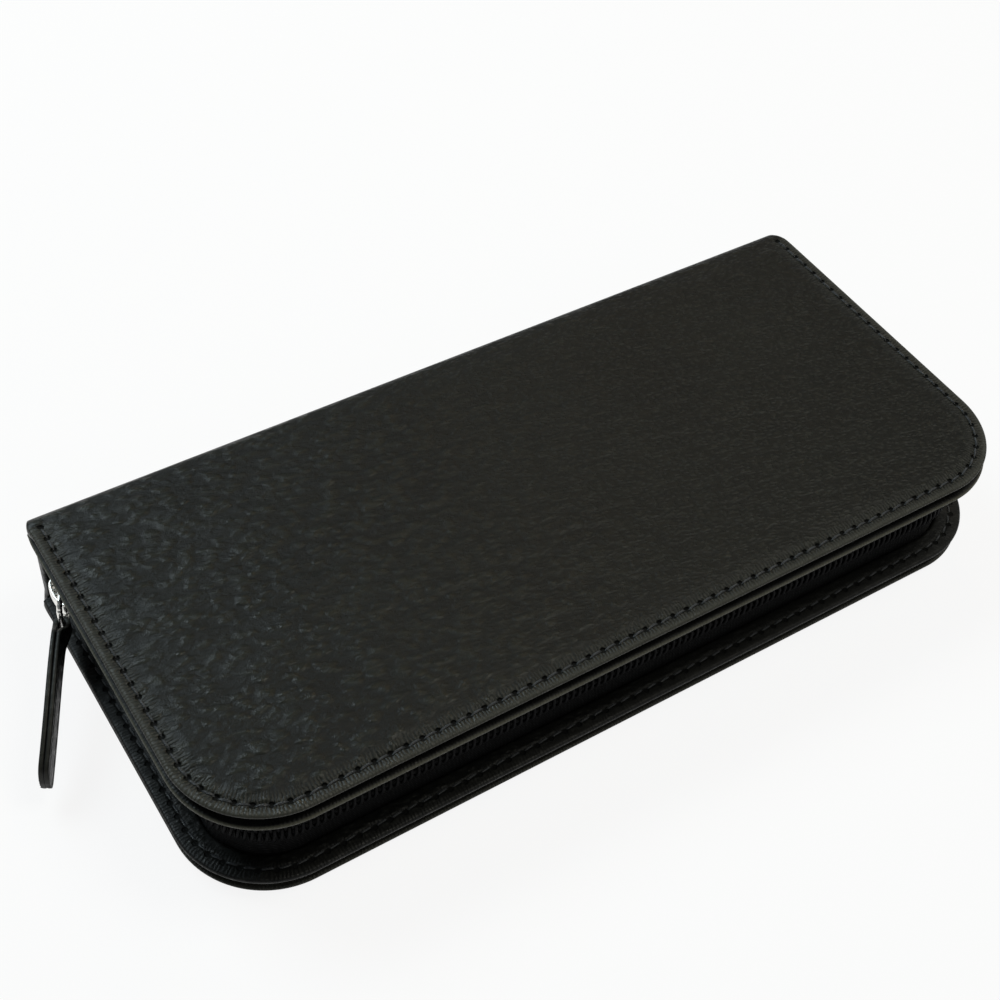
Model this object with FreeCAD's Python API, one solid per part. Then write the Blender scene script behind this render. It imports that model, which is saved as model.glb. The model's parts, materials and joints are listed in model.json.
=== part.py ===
import FreeCAD, Part
import math
import os

# Zip-round leather pen case, closed and lying on its back. Millimetres.
# +X runs along the length, -Y faces the long zipped side, +Y the spine, +Z is up.
# The origin is the centre of the underside. The lid half is the base half mirrored.

# Outer form
case_length = 180.0
case_width = 81.5
rim_height = 24.8
pad_rise = 0.6
front_corner_radius = 18.5
fold_radius = 3.0
spine_setback = 1.5

# Layers of a cover, from the outside inwards
leather_thickness = 1.1
board_thickness = 1.1
tape_thickness = 0.6
facing_thickness = 1.2
lining_thickness = 0.7
turn_in_width = 7.0
facing_setback = 0.4
pad_inset = 3.6
pad_back_gap = 1.2
pad_edge_radius = 0.45

# Zip
coil_inset = 4.0
coil_depth = 1.6
coil_height = 2.6
coil_gap = 1.0
coil_pitch = 1.43
tooth_share = 0.6
notch_depth = 0.7
tape_flange_inset = 1.4
tape_edge_drop = 0.3
stop_length = 1.2
zip_end_gap = 2.1

# Slider and its bridge
slider_length = 9.0
slider_wide_half = 4.4
slider_narrow_half = 4.1
slider_corner_radius = 1.0
outer_plate = 1.2
inner_plate = 1.0
divider_length = 1.3
divider_thickness = 0.5
flange_thickness = 0.8
crown_width = 3.0
crown_strip = 0.7
crown_eye = 1.5
crown_post = 0.9
crown_front_margin = 0.4
crown_back_margin = 1.0
crown_corner_radius = 0.6

# Ring and leather pull
ring_wire_radius = 0.55
ring_reach = 4.2
ring_half_height = 4.2
pull_angle = 29.4
strap_length = 30.5
strap_width = 6.4
strap_ply = 0.9
strap_flat = 3.0
strap_drop = 7.0
strap_taper = 5.0
strap_tip_radius = 2.0

# Stitches
stitch_pitch = 3.1
stitch_length = 2.3
stitch_width = 0.7
stitch_height = 0.35
stitch_inset = 2.6
strap_stitch_edge = 1.2
strap_stitch_end = 2.2

# Pen loops and lid pocket
lane_count = 3
lane_side_room = 14.0
lane_radius = 7.0
lane_rise = 6.5
lane_shift = 1.5
band_width = 18.0
band_thickness = 0.9
band_hem = 3.0
band_offset = 35.0
pocket_half_length = 72.0
pocket_front = -27.0
pocket_back = 22.0
pocket_thickness = 0.7
pocket_stitch_inset = 1.6

# Clearances
mitre_gap = 0.15
board_gap = 0.2
board_fold_gap = 1.0
lining_gap = 0.2
foam_gap = 0.1
facing_gap = 0.2
groove_gap = 0.15
slider_gap = 0.3
slider_stop_gap = 0.1
ring_gap = 0.2
strap_gap = 0.15
beyond = 5.0

# Heights of the base half and places along the case
total_height = rim_height + 2 * pad_rise
mid_height = total_height / 2
rim_level = pad_rise
turn_in_level = rim_level + leather_thickness
tape_level = turn_in_level + board_thickness
facing_level = tape_level + tape_thickness
facing_top = facing_level + facing_thickness
lining_top = tape_level + lining_thickness
coil_top = mid_height - coil_gap / 2
coil_bottom = coil_top - coil_height
tape_inset = coil_inset + coil_depth
tape_inner_inset = tape_inset + tape_thickness
spine_length = case_length - 2 * spine_setback
spine_face = case_width / 2
lane_pitch = (case_width - lane_side_room) / lane_count
spine_thickness = leather_thickness + board_thickness + lining_thickness
pad_back = spine_face - fold_radius - pad_back_gap
zip_end = spine_face - spine_thickness - zip_end_gap
coil_end = zip_end - stop_length - slider_stop_gap
fold_sink = fold_radius * (1 - math.sqrt(0.5))
fold_axis_y = spine_face - fold_sink
fold_axis_z = rim_level + fold_sink


def vec(x, y, z=0.0):
    return FreeCAD.Vector(x, y, z)


def block(low, high):
    """Box between two corners."""
    size = [h - l for l, h in zip(low, high)]
    return Part.makeBox(size[0], size[1], size[2], vec(*low))


def mirrored(shape):
    """The lid's copy of a piece of the base."""
    return shape.mirror(vec(0, 0, mid_height), vec(0, 0, 1))


def prism_along_x(points, half_length):
    """Solid with a flat (y, z) outline, centred on x = 0."""
    corners = [vec(-half_length, y, z) for y, z in points]
    face = Part.Face(Part.makePolygon(corners + corners[:1]))
    return face.extrude(vec(2 * half_length, 0, 0))


def rim_edges(inset, back):
    """Left side, front and right side of the plan outline, drawn in by inset."""
    half = case_length / 2 - inset
    front = inset - case_width / 2
    radius = front_corner_radius - inset
    mid = radius * (1 - math.sqrt(0.5))
    left = vec(-half, front + radius)
    front_left = vec(-half + radius, front)
    front_right = vec(half - radius, front)
    right = vec(half, front + radius)
    return [
        Part.LineSegment(vec(-half, back), left).toShape(),
        Part.Arc(left, vec(-half + mid, front + mid), front_left).toShape(),
        Part.LineSegment(front_left, front_right).toShape(),
        Part.Arc(front_right, vec(half - mid, front + mid), right).toShape(),
        Part.LineSegment(right, vec(half, back)).toShape(),
    ]


def plan_prism(inset, back, low, high):
    """Solid of the plan outline between two heights, straight across at y = back."""
    half = case_length / 2 - inset
    closing = Part.LineSegment(vec(half, back), vec(-half, back)).toShape()
    face = Part.Face(Part.Wire(rim_edges(inset, back) + [closing]))
    face.translate(vec(0, 0, low))
    return face.extrude(vec(0, 0, high - low))


def rim_ring(outer_inset, inner_inset, back, low, high):
    """Three-sided strip along the rim, open at the spine."""
    core = plan_prism(inner_inset, back + beyond, low - beyond, high + beyond)
    return plan_prism(outer_inset, back, low, high).cut(core)


def rim_length(inset, back):
    return sum(edge.Length for edge in rim_edges(inset, back))


def rim_point(inset, back, distance):
    """Point on the rim line and its heading in degrees."""
    half = case_length / 2 - inset
    front = inset - case_width / 2
    radius = front_corner_radius - inset
    side = back - front - radius
    bend = radius * math.pi / 2
    run = 2 * (half - radius)
    if distance <= side:
        return vec(-half, back - distance), -90.0
    distance -= side
    if distance <= bend:
        turn = distance / radius
        spot = vec(-half + radius - radius * math.cos(turn), front + radius - radius * math.sin(turn))
        return spot, -90.0 + math.degrees(turn)
    distance -= bend
    if distance <= run:
        return vec(-half + radius + distance, front), 0.0
    distance -= run
    if distance <= bend:
        turn = distance / radius
        spot = vec(half - radius + radius * math.sin(turn), front + radius - radius * math.cos(turn))
        return spot, math.degrees(turn)
    return vec(half, front + radius + distance - bend), 90.0


def stitch(length, width, height):
    """One stitch, lying along X with its underside at z = 0."""
    return block((-length / 2, -width / 2, 0), (length / 2, width / 2, height))


def rim_stitches(back, low):
    """Row of stitches along the rim."""
    total = rim_length(stitch_inset, back)
    count = int(total / stitch_pitch)
    step = total / count
    row = []
    for i in range(count):
        spot, heading = rim_point(stitch_inset, back, (i + 0.5) * step)
        piece = stitch(stitch_length, stitch_width, stitch_height)
        piece.rotate(vec(0, 0), vec(0, 0, 1), heading)
        piece.translate(spot + vec(0, 0, low))
        row.append(piece)
    return row


def stitch_groove(back, low, high):
    """Groove that holds a row of rim stitches."""
    reach = stitch_width / 2 + groove_gap
    return rim_ring(stitch_inset - reach, stitch_inset + reach, back, low, high)


def outer_rounding():
    """Everything inside the rounded spine side of the case."""
    inner = spine_face - fold_radius
    top = total_height - rim_level
    mid = fold_radius * math.sqrt(0.5)
    x = -case_length / 2 - beyond
    far = -spine_face - beyond
    edges = [
        Part.LineSegment(vec(x, far, -beyond), vec(x, inner, -beyond)),
        Part.LineSegment(vec(x, inner, -beyond), vec(x, inner, rim_level)),
        Part.Arc(vec(x, inner, rim_level), vec(x, inner + mid, rim_level + fold_radius - mid),
                 vec(x, spine_face, rim_level + fold_radius)),
        Part.LineSegment(vec(x, spine_face, rim_level + fold_radius), vec(x, spine_face, top - fold_radius)),
        Part.Arc(vec(x, spine_face, top - fold_radius), vec(x, inner + mid, top - fold_radius + mid),
                 vec(x, inner, top)),
        Part.LineSegment(vec(x, inner, top), vec(x, inner, total_height + beyond)),
        Part.LineSegment(vec(x, inner, total_height + beyond), vec(x, far, total_height + beyond)),
        Part.LineSegment(vec(x, far, total_height + beyond), vec(x, far, -beyond)),
    ]
    face = Part.Face(Part.Wire([edge.toShape() for edge in edges]))
    return face.extrude(vec(-2 * x, 0, 0))


def base_side():
    """Everything on the base's side of the lower fold."""
    line = fold_axis_y + fold_axis_z - mitre_gap * math.sqrt(2)
    far = -spine_face - beyond
    points = [(far, -beyond), (line + beyond, -beyond), (line - total_height, total_height), (far, total_height)]
    return prism_along_x(points, case_length / 2 + beyond).common(outer_rounding())


def spine_side():
    """Everything between the two folds."""
    line = fold_axis_y + fold_axis_z + mitre_gap * math.sqrt(2)
    far = spine_face + beyond
    points = [(line - mid_height, mid_height), (far, line - far), (far, total_height - line + far)]
    return prism_along_x(points, spine_length / 2).common(outer_rounding())


def cover():
    """Outer leather with a padded field, its edge turned in, and the stitch groove."""
    back = spine_face
    sheet = plan_prism(0, back, rim_level, turn_in_level)
    turned = rim_ring(0, turn_in_width, back, turn_in_level, tape_level)
    field = plan_prism(pad_inset, pad_back, 0, rim_level)
    under = [edge for edge in field.Edges if edge.BoundBox.ZMax < rim_level / 2]
    field = field.makeFillet(min(pad_edge_radius, 0.9 * pad_rise), under)
    skin = sheet.fuse([turned, field]).common(base_side())
    groove = stitch_groove(pad_back, rim_level - beyond, rim_level + stitch_height)
    return skin.cut(foam_space(0)).cut(groove).removeSplitter()


def foam_space(gap):
    """Room for the foam between the leather and the board."""
    low = leather_thickness + gap
    return plan_prism(pad_inset + leather_thickness + gap, pad_back - leather_thickness - gap, low, turn_in_level)


def padding():
    return foam_space(foam_gap)


def board():
    """Stiffener inside the turned edge, stopping short of the fold."""
    low = turn_in_level
    sheet = plan_prism(turn_in_width + board_gap, spine_face, low, tape_level)
    line = fold_axis_y + fold_axis_z - (mitre_gap + board_fold_gap) * math.sqrt(2)
    far = -spine_face - beyond
    points = [(far, -beyond), (line + beyond, -beyond), (line - total_height, total_height), (far, total_height)]
    return sheet.common(prism_along_x(points, case_length / 2 + beyond))


def lining():
    sheet = plan_prism(tape_inner_inset + lining_gap, spine_face, tape_level, lining_top)
    return sheet.common(base_side())


def rim_facing():
    """Leather strip over the turned edge, with its own stitch groove."""
    strip = rim_ring(facing_setback, tape_inset - facing_gap, spine_face, facing_level, facing_top)
    groove = stitch_groove(pad_back, facing_top - stitch_height, facing_top + beyond)
    return strip.common(base_side()).cut(groove)


def rim_stitching():
    """Outer row in the leather and inner row in the facing."""
    rows = rim_stitches(pad_back, rim_level)
    rows += rim_stitches(pad_back, facing_top - stitch_height)
    return Part.makeCompound(rows)


def zip_tape():
    """Tape sewn flat under the facing, then turned up as the wall that carries the coil."""
    flange = rim_ring(tape_flange_inset, tape_inner_inset, zip_end, tape_level, facing_level)
    wall = rim_ring(tape_inset, tape_inner_inset, zip_end, facing_level, coil_top - tape_edge_drop)
    return flange.common(base_side()).fuse(wall).removeSplitter()


def zip_coil():
    """Toothed strip on the outside of the tape."""
    total = rim_length(coil_inset, coil_end)
    count = int(total / coil_pitch)
    step = total / count
    points = []
    for i in range(count):
        for share, depth in ((0, 0), (tooth_share, 0), (tooth_share, notch_depth), (1, notch_depth)):
            spot, heading = rim_point(coil_inset, coil_end, (i + share) * step)
            turn = math.radians(heading)
            points.append(spot + vec(-math.sin(turn), math.cos(turn)) * depth)
    half = case_length / 2 - tape_inset
    points = [vec(-half, coil_end)] + points + [vec(half, coil_end)]
    toothed = [Part.LineSegment(a, b).toShape() for a, b in zip(points, points[1:])]
    ordered = Part.__sortEdges__(toothed + rim_edges(tape_inset, coil_end))
    face = Part.Face(Part.Wire(ordered))
    face.translate(vec(0, 0, coil_bottom))
    return face.extrude(vec(0, 0, coil_height))


def zip_stop(side):
    """Crimped end of the zip, on the left (-1) or right (+1) side of the case."""
    outer = side * (case_length / 2 - coil_inset)
    inner = side * (case_length / 2 - tape_inset)
    low = (min(outer, inner), zip_end - stop_length, coil_bottom)
    return block(low, (max(outer, inner), zip_end, coil_top - tape_edge_drop))


def spine_layer(outer, inner):
    """Part of the back strip between two depths from its outer face."""
    half = spine_length / 2
    slab = block((-half, spine_face - inner, 0), (half, spine_face - outer, total_height))
    return slab.common(spine_side())


def spine_board():
    """Stiffener of the back strip, stopping short of both folds."""
    piece = spine_layer(leather_thickness, leather_thickness + board_thickness)
    box = piece.BoundBox
    low = (box.XMin + board_gap, box.YMin - beyond, box.ZMin + board_fold_gap)
    return piece.common(block(low, (box.XMax - board_gap, box.YMax + beyond, box.ZMax - board_fold_gap)))


def lane_centres():
    first = lane_shift - lane_pitch * (lane_count - 1) / 2
    return [first + lane_pitch * i for i in range(lane_count)]


def pen_band(side):
    """Elastic band with one arch over each pen."""
    outer = lane_radius + band_thickness
    x = side * band_offset - band_width / 2
    centre = lining_top + lane_rise
    lanes = lane_centres()
    low = (x, lanes[0] - outer - band_hem, lining_top)
    high = (x + band_width, lanes[-1] + outer + band_hem, lining_top + band_thickness)
    band = block(low, high)
    axis = vec(1, 0, 0)
    for y in lanes:
        arch = Part.makeCylinder(outer, band_width, vec(x, y, centre), axis)
        legs = block((x, y - outer, lining_top), (x + band_width, y + outer, centre))
        band = band.fuse(arch.fuse(legs))
    for y in lanes:
        bore = Part.makeCylinder(lane_radius, band_width + 2 * beyond, vec(x - beyond, y, centre), axis)
        floor = block((x - beyond, y - lane_radius, lining_top - beyond),
                      (x + band_width + beyond, y + lane_radius, centre))
        band = band.cut(bore.fuse(floor))
    return band.removeSplitter()


def band_stitching():
    """Stitches that hold the bands down beside each arch."""
    outer = lane_radius + band_thickness
    lanes = lane_centres()
    seams = [(a + b) / 2 for a, b in zip(lanes, lanes[1:])]
    seams = [lanes[0] - outer - band_hem / 2] + seams + [lanes[-1] + outer + band_hem / 2]
    count = int(band_width / stitch_pitch)
    row = []
    for side in (-1, 1):
        for y in seams:
            for i in range(count):
                x = side * band_offset + (i - (count - 1) / 2) * stitch_pitch
                piece = stitch(stitch_length, stitch_width, stitch_height)
                piece.translate(vec(x, y, lining_top + band_thickness))
                row.append(piece)
    return Part.makeCompound(row)


def slip_pocket():
    low = (-pocket_half_length, pocket_front, lining_top)
    return block(low, (pocket_half_length, pocket_back, lining_top + pocket_thickness))


def pocket_stitching():
    """Row along the three closed sides of the pocket."""
    low = lining_top + pocket_thickness
    side = pocket_half_length - pocket_stitch_inset
    front = pocket_front + pocket_stitch_inset
    across = int(2 * side / stitch_pitch)
    along = int((pocket_back - front) / stitch_pitch)
    row = []
    for i in range(across):
        piece = stitch(stitch_length, stitch_width, stitch_height)
        piece.translate(vec((i - (across - 1) / 2) * stitch_pitch, front, low))
        row.append(piece)
    for end in (-side, side):
        for i in range(1, along):
            piece = stitch(stitch_width, stitch_length, stitch_height)
            piece.translate(vec(end, front + i * stitch_pitch, low))
            row.append(piece)
    return Part.makeCompound(row)


# Places of the slider, its bridge and its ring
slider_back = coil_end
slider_front = slider_back - slider_length
coil_face = coil_inset - case_length / 2
tape_face = tape_inset - case_length / 2
tape_inner_face = tape_inner_inset - case_length / 2
plate_inside = coil_face - slider_gap
plate_outside = plate_inside - outer_plate
crown_front = slider_front + crown_front_margin
ring_x = plate_outside - crown_eye / 2
ring_y = crown_front + crown_post + ring_wire_radius + ring_gap
pull_x = -math.sin(math.radians(pull_angle))
pull_y = -math.cos(math.radians(pull_angle))
strap_x = ring_x + ring_reach * pull_x
strap_y = ring_y + ring_reach * pull_y


def slider_plate(x, thickness):
    """Shield-shaped plate, wide towards the closed end of the zip."""
    corners = [
        vec(x, slider_front, mid_height - slider_narrow_half),
        vec(x, slider_back, mid_height - slider_wide_half),
        vec(x, slider_back, mid_height + slider_wide_half),
        vec(x, slider_front, mid_height + slider_narrow_half),
    ]
    plate = Part.Face(Part.makePolygon(corners + corners[:1])).extrude(vec(thickness, 0, 0))
    across = [edge for edge in plate.Edges if edge.BoundBox.XLength > thickness / 2]
    return plate.makeFillet(slider_corner_radius, across)


def slider_body():
    """Two plates joined by the divider, with a flange under the lower coil."""
    inner_x = tape_inner_face + slider_gap
    outer = slider_plate(plate_outside, outer_plate)
    inner = slider_plate(inner_x, inner_plate)
    low = (plate_outside, slider_back - slider_corner_radius - divider_length, mid_height - divider_thickness / 2)
    high = (inner_x + inner_plate, slider_back - slider_corner_radius, mid_height + divider_thickness / 2)
    divider = block(low, high)
    shelf_top = coil_bottom - slider_gap
    low = (plate_inside, slider_front + slider_corner_radius, shelf_top - flange_thickness)
    high = (tape_face - slider_gap, slider_back - slider_corner_radius, shelf_top)
    return outer.fuse([inner, divider, block(low, high)]).removeSplitter()


def slider_crown():
    """Bridge over the slider's face, with the eye that the ring passes through."""
    half = crown_width / 2
    back = slider_back - crown_back_margin
    low = (plate_outside - crown_eye - crown_strip, crown_front, mid_height - half)
    bridge = block(low, (plate_outside, back, mid_height + half))
    crests = [edge for edge in bridge.Edges if edge.BoundBox.XMax < low[0] + crown_strip / 2]
    bridge = bridge.makeFillet(crown_corner_radius, crests)
    low = (plate_outside - crown_eye, crown_front + crown_post, mid_height - half - beyond)
    return bridge.cut(block(low, (plate_outside + beyond, back - crown_post, mid_height + half + beyond)))


def pull_ring():
    """Wire link with two upright bars."""
    r = ring_wire_radius
    near = vec(ring_x, ring_y, mid_height)
    far = vec(strap_x, strap_y, mid_height)
    rise = vec(0, 0, ring_half_height)
    along = vec(pull_x, pull_y)
    link = Part.makeCylinder(r, 2 * ring_half_height, near - rise, vec(0, 0, 1))
    link = link.fuse(Part.makeCylinder(r, 2 * ring_half_height, far - rise, vec(0, 0, 1)))
    for end in (rise, -rise):
        link = link.fuse(Part.makeCylinder(r, ring_reach, near + end, along))
        link = link.fuse([Part.makeSphere(r, near + end), Part.makeSphere(r, far + end)])
    return link.removeSplitter()


def strap_fall(distance):
    """How far the strap has dropped at a distance from the ring."""
    share = max(0.0, (distance - strap_flat) / (strap_length - strap_flat))
    return strap_drop * share * share


def placed_on_ring(shape):
    """Moves a shape drawn along +X from the ring's outer bar to its place."""
    shape.rotate(vec(0, 0), vec(0, 0, 1), 270.0 - pull_angle)
    shape.translate(vec(strap_x, strap_y, mid_height))
    return shape


def strap_side_view():
    """The strap seen flat: straight at the ring, then falling to a rounded tip."""
    half = strap_width / 2
    start = -ring_wire_radius - strap_gap - 2 * strap_ply
    middle = (strap_flat + strap_length) / 2
    depth = 2 * strap_ply + ring_wire_radius + strap_gap

    def spot(distance, height):
        return vec(distance, -depth, height - strap_fall(distance))

    edges = [
        Part.LineSegment(spot(start, half), spot(strap_flat, half)),
        Part.Arc(spot(strap_flat, half), spot(middle, half), spot(strap_length, half)),
        Part.LineSegment(spot(strap_length, half), spot(strap_length, -half)),
        Part.Arc(spot(strap_length, -half), spot(middle, -half), spot(strap_flat, -half)),
        Part.LineSegment(spot(strap_flat, -half), spot(start, -half)),
        Part.LineSegment(spot(start, -half), spot(start, half)),
    ]
    body = Part.Face(Part.Wire([edge.toShape() for edge in edges])).extrude(vec(0, 2 * depth, 0))
    tips = [edge for edge in body.Edges if edge.BoundBox.XMin > strap_length - strap_ply
            and edge.BoundBox.YLength > depth]
    return body.makeFillet(strap_tip_radius, tips)


def strap_loop_prism(radius, reach, half_end, low, high):
    """Teardrop round the ring's bar, tapering to half_end at the end of the loop and running to reach."""
    edges = [
        Part.Arc(vec(0, radius, low), vec(-radius, 0, low), vec(0, -radius, low)).toShape(),
    ]
    outline = [vec(0, -radius, low), vec(strap_taper, -half_end, low)]
    if reach > strap_taper:
        outline += [vec(reach, -half_end, low), vec(reach, half_end, low)]
    if half_end > 0:
        outline.append(vec(strap_taper, half_end, low))
    outline.append(vec(0, radius, low))
    edges += [Part.LineSegment(a, b).toShape() for a, b in zip(outline, outline[1:])]
    return Part.Face(Part.Wire(edges)).extrude(vec(0, 0, high - low))


def pull_strap():
    """One leather strip folded round the ring and glued to itself."""
    bore = ring_wire_radius + strap_gap
    low = -strap_width - strap_drop
    high = strap_width
    outer = strap_loop_prism(bore + strap_ply, strap_length, strap_ply, low, high)
    hole = strap_loop_prism(bore, strap_taper, 0, low - beyond, high + beyond)
    return placed_on_ring(outer.cut(hole).common(strap_side_view()))


def pull_stitching():
    """A row along both long edges of the strap, on both faces."""
    first = strap_taper + strap_stitch_end
    last = strap_length - strap_stitch_end - stitch_length / 2
    count = int((last - first) / stitch_pitch) + 1
    rows = []
    for edge in (-1, 1):
        for i in range(count):
            distance = first + i * stitch_pitch
            slope = (strap_fall(distance + 1) - strap_fall(distance - 1)) / 2
            height = edge * (strap_width / 2 - strap_stitch_edge) - strap_fall(distance)
            for face in (-1, 1):
                piece = stitch(stitch_length, stitch_width, stitch_height)
                piece.rotate(vec(0, 0), vec(1, 0, 0), -90.0 * face)
                piece.rotate(vec(0, 0), vec(0, 1, 0), math.degrees(math.atan(slope)))
                piece.translate(vec(distance, face * strap_ply, height))
                rows.append(placed_on_ring(piece))
    return Part.makeCompound(rows)


def all_pieces():
    lower = {
        "cover": cover(),
        "padding": padding(),
        "board": board(),
        "rim_facing": rim_facing(),
        "lining": lining(),
        "rim_stitching": rim_stitching(),
    }
    pieces = {}
    for name, shape in lower.items():
        pieces["bottom_" + name] = shape
        pieces["top_" + name] = mirrored(shape)
    for name, shape in (("zip_tape", zip_tape()), ("zip_coil", zip_coil()), ("top_stop", zip_stop(-1))):
        pieces["lower_" + name] = shape
        pieces["upper_" + name] = mirrored(shape)
    pieces["zip_bottom_stop"] = zip_stop(1)
    pieces["pen_band_left"] = pen_band(-1)
    pieces["pen_band_right"] = pen_band(1)
    pieces["band_stitching"] = band_stitching()
    pieces["slip_pocket"] = mirrored(slip_pocket())
    pieces["pocket_stitching"] = mirrored(pocket_stitching())
    pieces["spine_cover"] = spine_layer(0, leather_thickness)
    pieces["spine_board"] = spine_board()
    pieces["spine_lining"] = spine_layer(leather_thickness + board_thickness, spine_thickness)
    pieces["slider_body"] = slider_body()
    pieces["slider_crown"] = slider_crown()
    pieces["pull_ring"] = pull_ring()
    pieces["pull_strap"] = pull_strap()
    pieces["pull_stitching"] = pull_stitching()
    return pieces


os.makedirs("parts", exist_ok=True)
for name, shape in all_pieces().items():
    shape.exportStep("parts/" + name + ".step")
    print(name, len(shape.Solids), "solids", round(shape.Volume, 1), "mm3", shape.isValid())
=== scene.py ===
import json
import math
import bmesh
import bpy
import numpy as np
from mathutils import Matrix, Vector


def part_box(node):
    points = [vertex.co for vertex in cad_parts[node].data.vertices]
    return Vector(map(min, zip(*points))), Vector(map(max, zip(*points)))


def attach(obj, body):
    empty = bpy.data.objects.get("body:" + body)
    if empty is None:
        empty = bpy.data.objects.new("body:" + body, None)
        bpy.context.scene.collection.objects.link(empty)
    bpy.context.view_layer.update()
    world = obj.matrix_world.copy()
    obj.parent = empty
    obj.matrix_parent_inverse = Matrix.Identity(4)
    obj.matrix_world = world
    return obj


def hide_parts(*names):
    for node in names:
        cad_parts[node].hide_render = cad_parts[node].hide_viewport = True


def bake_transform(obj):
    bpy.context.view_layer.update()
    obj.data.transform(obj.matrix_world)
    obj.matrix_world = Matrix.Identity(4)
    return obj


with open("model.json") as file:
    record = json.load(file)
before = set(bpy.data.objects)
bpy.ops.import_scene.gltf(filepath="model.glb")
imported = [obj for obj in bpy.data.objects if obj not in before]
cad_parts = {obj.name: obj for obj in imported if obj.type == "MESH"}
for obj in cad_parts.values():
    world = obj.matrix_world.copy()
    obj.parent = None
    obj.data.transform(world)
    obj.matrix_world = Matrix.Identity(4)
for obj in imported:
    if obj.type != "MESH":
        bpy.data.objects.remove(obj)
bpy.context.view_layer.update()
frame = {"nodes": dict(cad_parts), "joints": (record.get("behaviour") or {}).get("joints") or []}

# Lengths below are in millimetres, and MM turns them into the frame's metres
MM = 0.001


def node_box(name):
    low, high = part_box(name)
    return low / MM, high / MM


cover_low, cover_high = node_box("bottom_cover")
spine_high = node_box("spine_cover")[1]
lining_high = node_box("bottom_lining")[1]
tape_low, tape_high = node_box("lower_zip_tape")
coil_low, coil_high = node_box("lower_zip_coil")
facing_low, facing_high = node_box("bottom_rim_facing")
slider_low, slider_high = node_box("slider_body")
crown_low, crown_high = node_box("slider_crown")
band_low, band_high = node_box("pen_band_right")
pocket_low, pocket_high = node_box("slip_pocket")

# Outer form
HALF = cover_high.x
FRONT = cover_low.y
SPINE_FACE = spine_high.y
SPINE_HALF = spine_high.x
TOTAL = node_box("top_cover")[1].z
MID = TOTAL / 2
CORNER = 18.5
FOLD = 3.0
RIM = 0.6
LEATHER = 1.1
PAD_BACK_GAP = 1.2
BACK = SPINE_FACE - FOLD - PAD_BACK_GAP

# Depths below the rim's outer face
TURN_IN = cover_high.z - RIM
LINING_FACE = lining_high.z - RIM
LINING_INSET = 6.4

# Stitches, with the leather drawn in at their holes and gathered up between them
STITCH_INSET = 2.6
STITCH_PITCH = 3.1
STITCH_RADIUS = 0.27
STITCH_SHARE = 0.37
STITCH_SLANT = 0.13
STITCH_DIP = 0.5
THREAD_SINK = 0.06
HOLE_RADIUS = 0.5
HOLE_DEPTH = 0.4
HOLE_ALONG = 0.45
HOLE_ACROSS = 0.42
GATHER_RISE = 0.15
GATHER_INSET = 4.0
GATHER_SPREAD = 1.1
PUCKER_DEPTH = 0.06
PUCKER_SPREAD = 0.6

# Edge of the leather: the beaded rim, and the plain turned edge of the spine
FIELD_EDGE = 8.0
VALLEY = 0.12
VALLEY_SPREAD = 0.5
BEAD_RISE = 0.05
BEAD_SPREAD = 0.45
BEAD_INSET = 1.05
BEAD_REACH = 0.7
BEAD_HEIGHT = 0.9
PLAIN_INSET = 0.74
PLAIN_EXTRA = 0.3
PLAIN_POWER = 0.35
PLAIN_START = 2.5
EDGE_STEPS = 12
TURN_IN_WIDTH = 7.0
TURN_IN_ROUND = 0.1
FIELD_INSETS = np.concatenate([np.linspace(FIELD_EDGE, 3.6, 9), np.linspace(3.4, BEAD_INSET, 13)])

# Where the edge tucks under, from the foot of its rounding, as (reach at the rim, reach at the spine,
# share of the way down)
TUCKS = [(0.0, 0.0, 0.0), (0.5, 0.3, 0.15), (0.9, 0.8, 0.8)]

# Facing of the rim; trim whose edge gets no painted highlight has the shift below added to its inset marks
FACING_INSET = 0.7
FACING_REACH = 0.65
FACING_DROP = 0.1
FACING_FACE = (1.5, 4.9)
FACING_WIDTH = 5.4
FACING_GROOVE = 0.16
FACING_GROOVE_SPREAD = 0.35
FACING_RUN = 2.2
FACING_RUN_BELOW = 0.4
NO_HIGHLIGHT_SHIFT = 0.4

# Padded field, and its soft wrinkles with their cell sizes along and across the case
PAD_SLOPE = 3.6
PAD_SLACK = 0.22
BACK_SHARE = 0.25
BACK_SLOPE = 4.5
STREAK_CELL = (9.0, 2.8)
STREAK_RISE = 0.17
STREAK_RIGHT_SHARE = 0.35
STREAK_END = 10.0
STREAK_FADE = 80.0
BROAD_CELL = (24.0, 15.0)
BROAD_RISE = 0.07
DRIFT_CELL = (40.0, 25.0)
DRIFT = 6.0
NOISE_SHIFT = 40

# How the sheets pass over the fold, as runs from the end of the stitched field
PAD_FADE = 1.7
SPINE_EASE = 5.0
LEFT_WEAR = 0.3
RIGHT_WEAR = 1.5
WEAR_RUN = 2.5
WEAR_SPREAD = 2.0
FOLD_END = PAD_BACK_GAP + FOLD * math.pi / 2
FOLD_RUN = FOLD_END + MID - RIM - FOLD
FOLD_PARTS = [(0, PAD_BACK_GAP, 4), (PAD_BACK_GAP, FOLD_END, 13), (FOLD_END, FOLD_RUN, 14)]
FOLD_RUNS = np.concatenate([np.linspace(*part)[1:] for part in FOLD_PARTS])

# The rim line, measured along the stitches from the left end of the spine
ARC_REF = CORNER - STITCH_INSET
SIDE = BACK - (FRONT + CORNER)
BEND = ARC_REF * math.pi / 2
RUN = 2 * (HALF - CORNER)
RIM_LENGTH = 2 * SIDE + 2 * BEND + RUN
STITCHES = int(RIM_LENGTH / STITCH_PITCH)
STITCH_STEP = RIM_LENGTH / STITCHES
STEPS_PER_STITCH = 6
STATIONS = np.linspace(0, RIM_LENGTH, STITCHES * STEPS_PER_STITCH + 1)
CORNER_STEP = int(round((SIDE + BEND / 2) / RIM_LENGTH * (len(STATIONS) - 1)))
FAR_INSET = 30.0
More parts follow.
